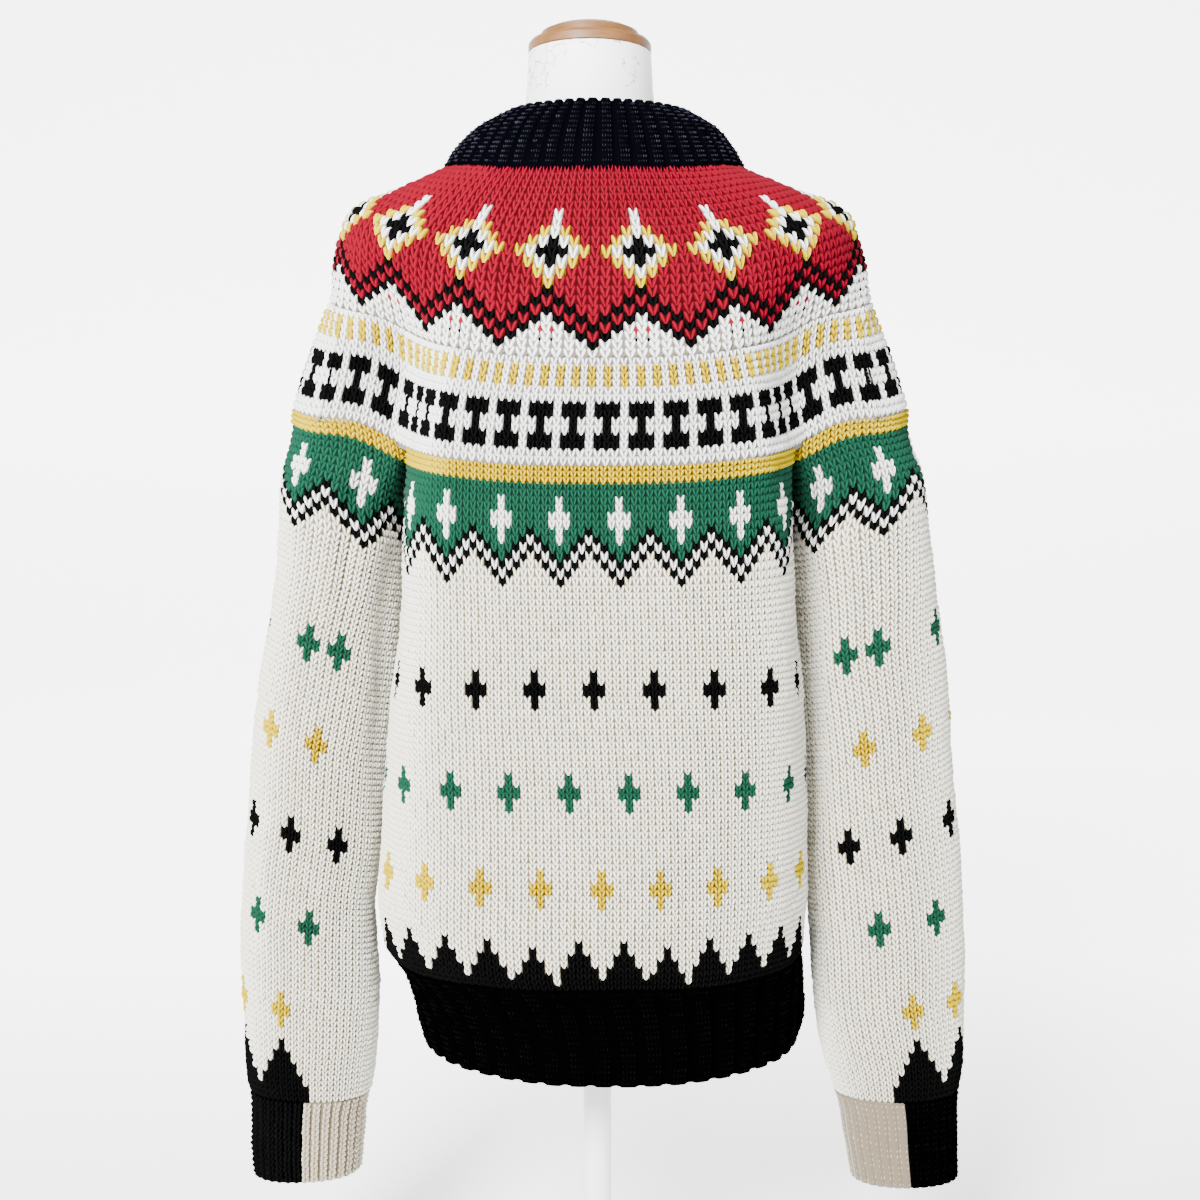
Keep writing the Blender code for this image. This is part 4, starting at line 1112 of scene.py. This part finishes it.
# Creases of the sleeves: share of the way round, upper and lower end, half width, and height of
# the ridge or depth of the trough. Those up to 0.5 show in the photograph, and the others are
# their like on the hidden side
CREASES_LEFT = np.array([
    (0.262, 0.720, 0.550, 0.018, 0.0040), (0.302, 0.710, 0.580, 0.020, -0.0030),
    (0.425, 0.665, 0.420, 0.048, -0.0075), (0.360, 0.470, 0.270, 0.030, -0.0020),
    (0.150, 0.420, 0.290, 0.030, 0.0013), (0.230, 0.330, 0.215, 0.024, -0.0012),
    (0.740, 0.690, 0.570, 0.020, 0.0020), (0.620, 0.640, 0.430, 0.050, -0.0036),
    (0.860, 0.400, 0.280, 0.030, 0.0011)])
CREASES_RIGHT = np.array([
    (0.300, 0.690, 0.540, 0.018, 0.0036), (0.340, 0.680, 0.565, 0.020, -0.0027),
    (0.435, 0.655, 0.400, 0.048, -0.0070), (0.370, 0.450, 0.260, 0.030, -0.0018),
    (0.200, 0.390, 0.280, 0.030, 0.0012), (0.120, 0.310, 0.210, 0.026, -0.0011),
    (0.700, 0.660, 0.545, 0.020, 0.0018), (0.600, 0.620, 0.410, 0.050, -0.0034),
    (0.830, 0.390, 0.270, 0.030, 0.0010)])


def creases(table, share, z):
    """Height of the creases at shares of the way round, at one level."""
    rise = np.zeros(len(share))
    for around, top, low, half, high in table:
        fade = math.sin(math.pi * min(max((top - z) / (top - low), 0.0), 1.0)) ** 0.7
        apart = (share - around + 0.5) % 1.0 - 0.5
        rise += high * fade * np.exp(-((apart / half) ** 2))
    return rise


def sleeve_cloth(side, wander, motifs, tip, teeth, table):
    """A sleeve with its motifs. tip and teeth are the columns of a zigzag peak and a point."""
    z = levels(SLEEVE_TOP, SLEEVE_END)
    fine = np.linspace(0.0, 1.0, 361)
    grid, places, ridge = [], [], []
    for h in z:
        shift, spread = [float(np.interp(h, wander[:, 0], wander[:, i])) for i in (1, 2)]
        c = np.arange(SLEEVE_STITCHES) - 0.5
        spread_out = spread * SPREAD_WAVE * np.sin((c - SPREAD_MIDDLE) / SPREAD_WAVE)
        share = (c + shift + spread_out) / SLEEVE_STITCHES
        points = sleeve_ring(h, fine, side)
        length = np.concatenate([[0.0], np.cumsum(np.linalg.norm(np.diff(points, axis=0), axis=1))])
        p = np.interp((share % 1.0) * length[-1], length, fine)
        grid.append(sleeve_ring(h, p, side))
        places.append(share * SLEEVE_STITCHES + 0.5)
        ridge.append(creases(table, share, h))
    last = len(z) - 1
    yarns = np.full((last, SLEEVE_STITCHES), NUMBER["ivory"])
    for row in range(last):
        for k in range(SLEEVE_STITCHES):
            around = k if k < 32 else k - SLEEVE_STITCHES
            in_reach = POINTS_BETWEEN[0] < around < POINTS_BETWEEN[1]
            if row < len(BAND_ROWS):
                yarns[row, k] = NUMBER[lower_chart(row, k - tip, 4)]
            elif in_reach and tooth(row - (last - CUFF_POINT_ROWS), k - teeth, 8, 0, CUFF_TEETH):
                yarns[row, k] = NUMBER["black"]
    half_way = 0.5 * SLEEVE_STITCHES
    for start, name, centres in motifs:
        for centre in centres:
            apart = (places[start + 3] - centre + half_way) % SLEEVE_STITCHES - half_way
            middle = int(np.argmin(abs(apart)))
            for r, c in [(r, c) for r in range(6) for c in (-1, 0, 1)]:
                if CROSS[r][c + 1] == "X":
                    yarns[start + r, (middle + c) % SLEEVE_STITCHES] = NUMBER[name]
    return cloth_of(np.array(grid), -side, True, yarns, np.array(ridge))


# %% [markdown]
# ## Ribbed bands
#
# Collar and hem are ribbing of two and two: two columns of V stitches stand out, then two sink
# in and disappear. The cuffs are ribbing of one and one, with 32 slim ribs. The lattice has six
# lines for each rib: three on its rounded crest, one at each of its feet and one in the hollow.
# Only the crest gets stitches.

# %% Ribs
RIB_HEIGHT = 0.0020
RIB_OFFSETS = np.array([0.0, 0.10, 0.34, 0.58, 0.68, 0.84])
RIB_HEIGHTS = np.array([-0.1, 0.85, 0.9, 0.85, -0.1, -0.5]) * RIB_HEIGHT
RIB_LINES = len(RIB_OFFSETS)


def rib_lines(count):
    """Places of a ribbed band's lines, as shares of the way round."""
    return ((np.arange(count)[:, None] + RIB_OFFSETS) / count).ravel()


def rib_cloth(grid, sign, count, yarns, fade):
    """A ribbed band's lattice. fade gives the ribs' height at each row."""
    normal = sign * surface_normals(grid, True)
    rise = np.outer(fade, np.tile(RIB_HEIGHTS, count)) + waver(grid)
    moved = grid + normal * rise[..., None]
    return {"grid": moved, "normal": sign * surface_normals(moved, True), "closed": True,
            "yarns": np.repeat(yarns[None, :], len(grid) - 1, axis=0).repeat(RIB_LINES, axis=1)}


def rib_places(count, rows, places):
    """Rows and columns of the V columns on every rib."""
    r, k, pair = np.meshgrid(np.arange(rows), np.arange(count), places, indexing="ij")
    return r.ravel().astype(float), (float(RIB_LINES) * k + pair).ravel(), k.ravel()


def collar_cloth(count, rows):
    """The collar, from its upper edge down to the yoke."""
    share = np.linspace(1.0, 0.0, rows + 1)
    grid = np.array([collar_ring(s, 4.0 * rib_lines(count)) for s in share])
    fade = np.interp(share, [0.0, 0.2, 1.0], [0.5, 1.0, 1.0])
    return rib_cloth(grid, 1.0, count, np.full(count, NUMBER["navy"]), fade)


def hem_cloth(count, rows):
    """The hem's band, from the body down."""
    z = np.linspace(HEM[0, 0], HEM[-1, 0], rows + 1)
    grid = np.array([body_ring(h, 4.0 * rib_lines(count)) for h in z])
    fade = np.interp(np.arange(rows + 1), [0, 3, rows], [0.5, 1.0, 1.0])
    return rib_cloth(grid, 1.0, count, np.full(count, NUMBER["black"]), fade)


BLACK_FROM, BLACK_TO = -66.5, 88.0  # degrees round the cuff from its outer side


def cuff_cloth(side, count, rows):
    """A ribbed band at the wrist: black on the outside, and towards the body ivory yarn darkened as painted
    shade.
    """
    table = CUFF_LEFT if side > 0 else CUFF_RIGHT
    z = np.linspace(table[0, 0], table[-1, 0], rows + 1)
    grid = np.array([sleeve_ring(h, rib_lines(count), side) for h in z])
    degrees = (np.arange(count) + 0.34) / count * 360.0
    degrees = np.where(degrees > 180.0, degrees - 360.0, degrees)
    outer = (degrees < BLACK_TO) & (degrees > BLACK_FROM)
    # Towards the body the ribs take the ivory yarn darkened as painted shade.
    yarns = np.where(outer, NUMBER["black"], NUMBER["cuff"])
    fade = np.interp(np.arange(rows + 1), [0, 3, rows], [0.25, 0.5, 0.5])
    return rib_cloth(grid, -side, count, yarns, fade)


# %% [markdown]
# ## Making the pieces
#
# Each piece is made twice over: the thin cloth, which replaces the solid, and the stitches
# that lie on it.

# %% Piece makers
MADE = {}
TRIANGLES = {}
TUCK = 0.003  # how far a piece's last row reaches behind the next piece
NARROWEST_STITCH = 0.0016  # a stitch that a seam cuts narrower than this is left out
STITCH_FACES = 4 * (len(LEG) - 1)
RIB_THICKNESS = 0.0022
RIB_CREST = 1.2  # how much higher the stitches of a rib stand


def knit_piece(node, cloths, seed, stands_for=(), specks=()):
    """A piece in stocking stitch: its thin cloth and its stitches."""
    tucks = [0.0] * (len(cloths) - 1) + [TUCK]
    points, faces, yarns = joined([cloth_arrays(c, t) for c, t in zip(cloths, tucks)])
    cloth = add_mesh(node + "_cloth", points, faces, yarns)
    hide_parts(*(stands_for or (node,)))
    parts = [speck_arrays(cloths[0], specks)] if specks else []
    for i, c in enumerate(cloths):
        span = np.linalg.norm(np.diff(c["grid"], axis=1), axis=2)
        if c["closed"]:
            span = np.column_stack([span, np.linalg.norm(c["grid"][:, 0] - c["grid"][:, -1], axis=1)])
        r, k = np.nonzero(0.5 * (span[:-1] + span[1:]) > NARROWEST_STITCH)
        parts.append(leg_arrays(c, r.astype(float), k.astype(float), c["yarns"][r, k], seed + i))
    points, faces, yarns, uv = joined(parts)
    legs = add_mesh(node + "_stitches", points, faces, yarns, uv)
    MADE[node] = (cloth, legs)
    TRIANGLES[node] = 2 * (len(faces) + len(cloth.data.polygons))
    print(node, len(faces) // STITCH_FACES, "stitches,", TRIANGLES[node], "triangles")


def rib_piece(node, cloth, count, seed, places=(0.9, 2.0), wide=1.1):
    """A ribbed band: its cloth with some thickness, and the V columns on its ribs.

    places are the V columns' places on each rib and wide is their width, in lattice lines.
    """
    points, faces, yarns = cloth_arrays(cloth, TUCK if node == "collar" else 0.0)
    band = add_mesh(node + "_cloth", points, faces, yarns)
    thick = band.modifiers.new("thickness", "SOLIDIFY")
    thick.thickness = RIB_THICKNESS
    thick.offset = -1.0
    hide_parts(node)
    rows, columns, rib = rib_places(count, len(cloth["grid"]) - 1, places)
    yarn_of = cloth["yarns"][0, ::RIB_LINES][rib]
    points, faces, yarns, uv = leg_arrays(cloth, rows, columns, yarn_of, seed, wide, RIB_CREST, RIB_LEG)
    legs = add_mesh(node + "_stitches", points, faces, yarns, uv)
    MADE[node] = (band, legs)
    TRIANGLES[node] = 2 * (len(faces) + 2 * len(band.data.polygons))
    print(node, len(rows), "stitches,", TRIANGLES[node], "triangles")


# %% Knit the yoke
# The yoke gains stitches at row 22. Each step has its rows, half its columns up to the shoulder
# line, and how many columns are laid out on each side before the seam cuts them
BACK_STEPS = ((0, 22, 32.5, 32), (22, 36, 51.5, 43))
FRONT_STEPS = ((0, 22, 32.5, 38), (22, 36, 48.5, 59))
for node, front, steps, seed in (("yoke_back", False, BACK_STEPS, 11), ("yoke_front", True, FRONT_STEPS, 21)):
    cloths = [yoke_cloth(front, *step) for step in steps]
    knit_piece(node, cloths, seed, specks=yoke_specks(steps[0][3]))

# %% Knit the body
knit_piece("body_back", [body_cloth(False)], 31)
knit_piece("body_front", [body_cloth(True)], 41)

# %% Knit the sleeves
left = sleeve_cloth(1.0, WANDER_LEFT, MOTIFS_LEFT, 8, 12, CREASES_LEFT)
right = sleeve_cloth(-1.0, WANDER_RIGHT, MOTIFS_RIGHT, 12, 12, CREASES_RIGHT)
for node, cloth, seed in (("sleeve_left", left, 51), ("sleeve_right", right, 61)):
    knit_piece(node, [cloth], seed, (node + "_back", node + "_front"))

# %% Knit the ribbed bands
COLLAR_RIBS, HEM_RIBS, CUFF_RIBS = 50, 46, 32
COLLAR_ROWS, HEM_ROWS, CUFF_ROWS = 14, 17, 15
CUFF_PLACES, CUFF_WIDE = (-0.15,), 5.0  # one wide column of V stitches on each rib of a cuff
rib_piece("collar", collar_cloth(COLLAR_RIBS, COLLAR_ROWS), COLLAR_RIBS, 71)
rib_piece("hem_rib", hem_cloth(HEM_RIBS, HEM_ROWS), HEM_RIBS, 81)
for node, side, seed in (("cuff_left", 1.0, 91), ("cuff_right", -1.0, 92)):
    cloth = cuff_cloth(side, CUFF_RIBS, CUFF_ROWS)
    rib_piece(node, cloth, CUFF_RIBS, seed, CUFF_PLACES, CUFF_WIDE)
print("all triangles", sum(TRIANGLES.values()))

# %% [markdown]
# ## The dress form
#
# The form is a smooth white covering that has crazed finely on the neck, with a cap of turned
# beech. The cap's grain runs straight across the turning, as wood is sawn before it is turned,
# so it is a noise stretched along one axis. Pole and base are steel with satin white paint.

# %% Form covering
def plain_material(name, roughness, specular=0.5):
    """A material with its node tree and its Principled shader."""
    made = bpy.data.materials.new(name)
    made.use_nodes = True
    shader = made.node_tree.nodes["Principled BSDF"]
    shader.inputs["Roughness"].default_value = roughness
    shader.inputs["Specular IOR Level"].default_value = specular
    return made, made.node_tree, shader


covering, tree, shader = plain_material("form_covering", 0.55, 0.3)
place = put(tree, "ShaderNodeTexCoord")
bent = noise(tree, Scale=60.0, Detail=4.0)
shift = put(tree, "ShaderNodeVectorMath")
shift.operation = "MULTIPLY_ADD"
shift.inputs[1].default_value = (0.02, 0.02, 0.02)
tree.links.new(bent.outputs["Color"], shift.inputs[0])
tree.links.new(place.outputs["Object"], shift.inputs[2])
cells = put(tree, "ShaderNodeTexVoronoi", Scale=95.0)
cells.feature = "DISTANCE_TO_EDGE"
tree.links.new(shift.outputs["Vector"], cells.inputs["Vector"])
crack = math_node(tree, "LESS_THAN", cells.outputs["Distance"], 0.03)
patch = noise(tree, Scale=28.0, Detail=3.0)
patchy = math_node(tree, "GREATER_THAN", patch.outputs["Fac"], 0.47)
crack = math_node(tree, "MULTIPLY", crack, patchy)
colour = blend_colour(tree, crack, (0.95, 0.95, 0.94), (0.42, 0.41, 0.39))
tree.links.new(colour, shader.inputs["Base Color"])
raise_bump(tree, shader, cells.outputs["Distance"], 0.3, 0.0004)
print(covering.name, len(tree.nodes), "nodes")

# %% Turned beech
beech, tree, shader = plain_material("turned_beech", 0.5, 0.3)
place = put(tree, "ShaderNodeTexCoord")
stretch = put(tree, "ShaderNodeMapping")
stretch.inputs["Scale"].default_value = (6.0, 130.0, 260.0)
tree.links.new(place.outputs["Object"], stretch.inputs["Vector"])
grain = put(tree, "ShaderNodeTexNoise", Scale=1.0, Detail=4.0, Roughness=0.6)
tree.links.new(stretch.outputs["Vector"], grain.inputs["Vector"])
colour = blend_colour(tree, grain.outputs["Fac"], (0.060, 0.021, 0.005), (0.25, 0.115, 0.035))
tree.links.new(colour, shader.inputs["Base Color"])
raise_bump(tree, shader, grain.outputs["Fac"], 0.2, 0.0003)
shader.inputs["Coat Weight"].default_value = 0.1
shader.inputs["Coat Roughness"].default_value = 0.4
print(beech.name, len(tree.nodes), "nodes")

# %% White paint
paint, tree, shader = plain_material("satin_paint", 0.35, 0.5)
peel = noise(tree, Scale=420.0, Detail=2.0)
colour = blend_colour(tree, peel.outputs["Fac"], (0.86, 0.86, 0.85), (0.91, 0.91, 0.90))
tree.links.new(colour, shader.inputs["Base Color"])
raise_bump(tree, shader, peel.outputs["Fac"], 0.12, 0.0002)
print(paint.name, len(tree.nodes), "nodes")

# %% Smooth form and stand
SHARP_EDGE = 32.0  # degrees


def smoothed(node, material):
    """A solid of the form with the same points, shaded smooth but for its real edges."""
    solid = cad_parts[node]
    points = np.array([solid.matrix_world @ v.co for v in solid.data.vertices])
    unique, place_of = np.unique(np.round(points, 5), axis=0, return_inverse=True)
    place_of = place_of.ravel()
    faces = [[int(place_of[v]) for v in polygon.vertices] for polygon in solid.data.polygons]
    mesh = bpy.data.meshes.new(node + "_smooth")
    mesh.from_pydata(unique.tolist(), [], [face for face in faces if len(set(face)) == len(face)])
    mesh.validate()
    mesh.shade_smooth()
    mesh.set_sharp_from_angle(angle=math.radians(SHARP_EDGE))
    mesh.materials.append(material)
    made = placed(mesh)
    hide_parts(node)
    print(made.name, len(mesh.polygons), "faces")
    return made


form = smoothed("form_torso", covering)
smoothed("neck_cap", beech)
smoothed("stand_pole", paint)
smoothed("stand_base", paint)

# %% [markdown]
# ## Flat sizes
#
# All are estimates. Body and sleeves are as wide as their stitches are at 19 to 10 cm, and as
# long as 79 and 112 rows of about 4.6 mm, which is the model's own row. Yoke and ribs are held in
# shape by the form, so theirs is the size of the model's own surface. Tubes are stated all round.

FLAT = (
    ("yoke_back", 0.487, 0.250, 0.83, "stretched", "form_torso"),
    ("yoke_front", 0.712, 0.250, 0.72, "stretched", "form_torso"),
    ("body_back", 0.489, 0.365, 1.0, "hung", "yoke_back"),
    ("body_front", 0.479, 0.365, 1.0, "hung", "yoke_front"),
    ("sleeve_left", 0.295, 0.515, 0.97, "hung", "yoke_back"),
    ("sleeve_right", 0.295, 0.515, 0.97, "hung", "yoke_back"),
    ("collar", 0.540, 0.055, 1.0, "stretched", "yoke_back"),
    ("hem_rib", 0.850, 0.075, 1.0, "stretched", "body_back"),
    ("cuff_left", 0.228, 0.066, 1.0, "hung", "sleeve_left"),
    ("cuff_right", 0.231, 0.069, 1.0, "hung", "sleeve_right"),
)
for node, width, length, share, held, rests_on in FLAT:
    cloth, legs = MADE[node]
    rests_on = MADE[rests_on][0].name if rests_on in MADE else form.name

# %% [markdown]
# ## Studio
#
# The photograph has an even white ground and soft light from above and from the camera's side.
# A pale sweep stands for the floor and the wall. It glows more towards the wall, so that the
# ground behind the garment is near white. Two area lights leave soft shadows in the folds.

# %% Floor and sweep
FLOOR_NEAR, FLOOR_FAR = 3.5, -2.6
SWEEP_RADIUS = 0.8
WALL_HEIGHT = 4.5
HALF_WIDTH = 5.0
GLOW = 3.6

turns = np.linspace(0.1, math.pi / 2, 10)
profile = [(FLOOR_NEAR, 0.0), (FLOOR_FAR, 0.0)]
profile += [
    (FLOOR_FAR - SWEEP_RADIUS * math.sin(a), SWEEP_RADIUS - SWEEP_RADIUS * math.cos(a)) for a in turns
]
profile += [(FLOOR_FAR - SWEEP_RADIUS, WALL_HEIGHT)]
points = [(x, y, z) for y, z in profile for x in (-HALF_WIDTH, HALF_WIDTH)]
faces = [(2 * i, 2 * i + 1, 2 * i + 3, 2 * i + 2) for i in range(len(profile) - 1)]
mesh = bpy.data.meshes.new("studio_sweep")
mesh.from_pydata(points, [], faces)
mesh.shade_smooth()
sweep = bpy.data.objects.new("studio_sweep", mesh)
scene.collection.objects.link(sweep)
ground, tree, shader = plain_material("studio_white", 0.9, 0.1)
shader.inputs["Base Color"].default_value = (0.95, 0.95, 0.95, 1.0)
shader.inputs["Emission Color"].default_value = (1.0, 1.0, 1.0, 1.0)
place = put(tree, "ShaderNodeTexCoord")
split = put(tree, "ShaderNodeSeparateXYZ")
tree.links.new(place.outputs["Object"], split.inputs["Vector"])
glow = math_node(tree, "SUBTRACT", 0.1, split.outputs["Y"])
glow = math_node(tree, "MINIMUM", math_node(tree, "MAXIMUM", glow, 0.0), 1.0)
tree.links.new(math_node(tree, "MULTIPLY", glow, GLOW), shader.inputs["Emission Strength"])
mesh.materials.append(ground)
print("sweep", len(faces), "faces")

# %% Light
CHEST = (0.0, 0.0, 0.6)

world = bpy.data.worlds.new("studio_air")
scene.world = world
world.use_nodes = True
air = world.node_tree.nodes["Background"]
air.inputs["Color"].default_value = (1.0, 1.0, 1.0, 1.0)
air.inputs["Strength"].default_value = 0.5


def area_light(name, place, size, power):
    """A soft square light aimed at the garment's chest."""
    data = bpy.data.lights.new(name, "AREA")
    data.shape = "SQUARE"
    data.size = size
    data.energy = power
    made = bpy.data.objects.new(name, data)
    made.location = place
    way = np.array(CHEST) - np.array(place)
    tilt = math.acos(-way[2] / np.linalg.norm(way))
    made.rotation_euler = (tilt, 0.0, math.atan2(way[1], way[0]) - math.pi / 2)
    scene.collection.objects.link(made)
    print(name, "light of", power, "W")


area_light("key", (0.9, 2.2, 1.9), 0.8, 340.0)
area_light("fill", (-1.7, 1.9, 1.1), 1.6, 25.0)
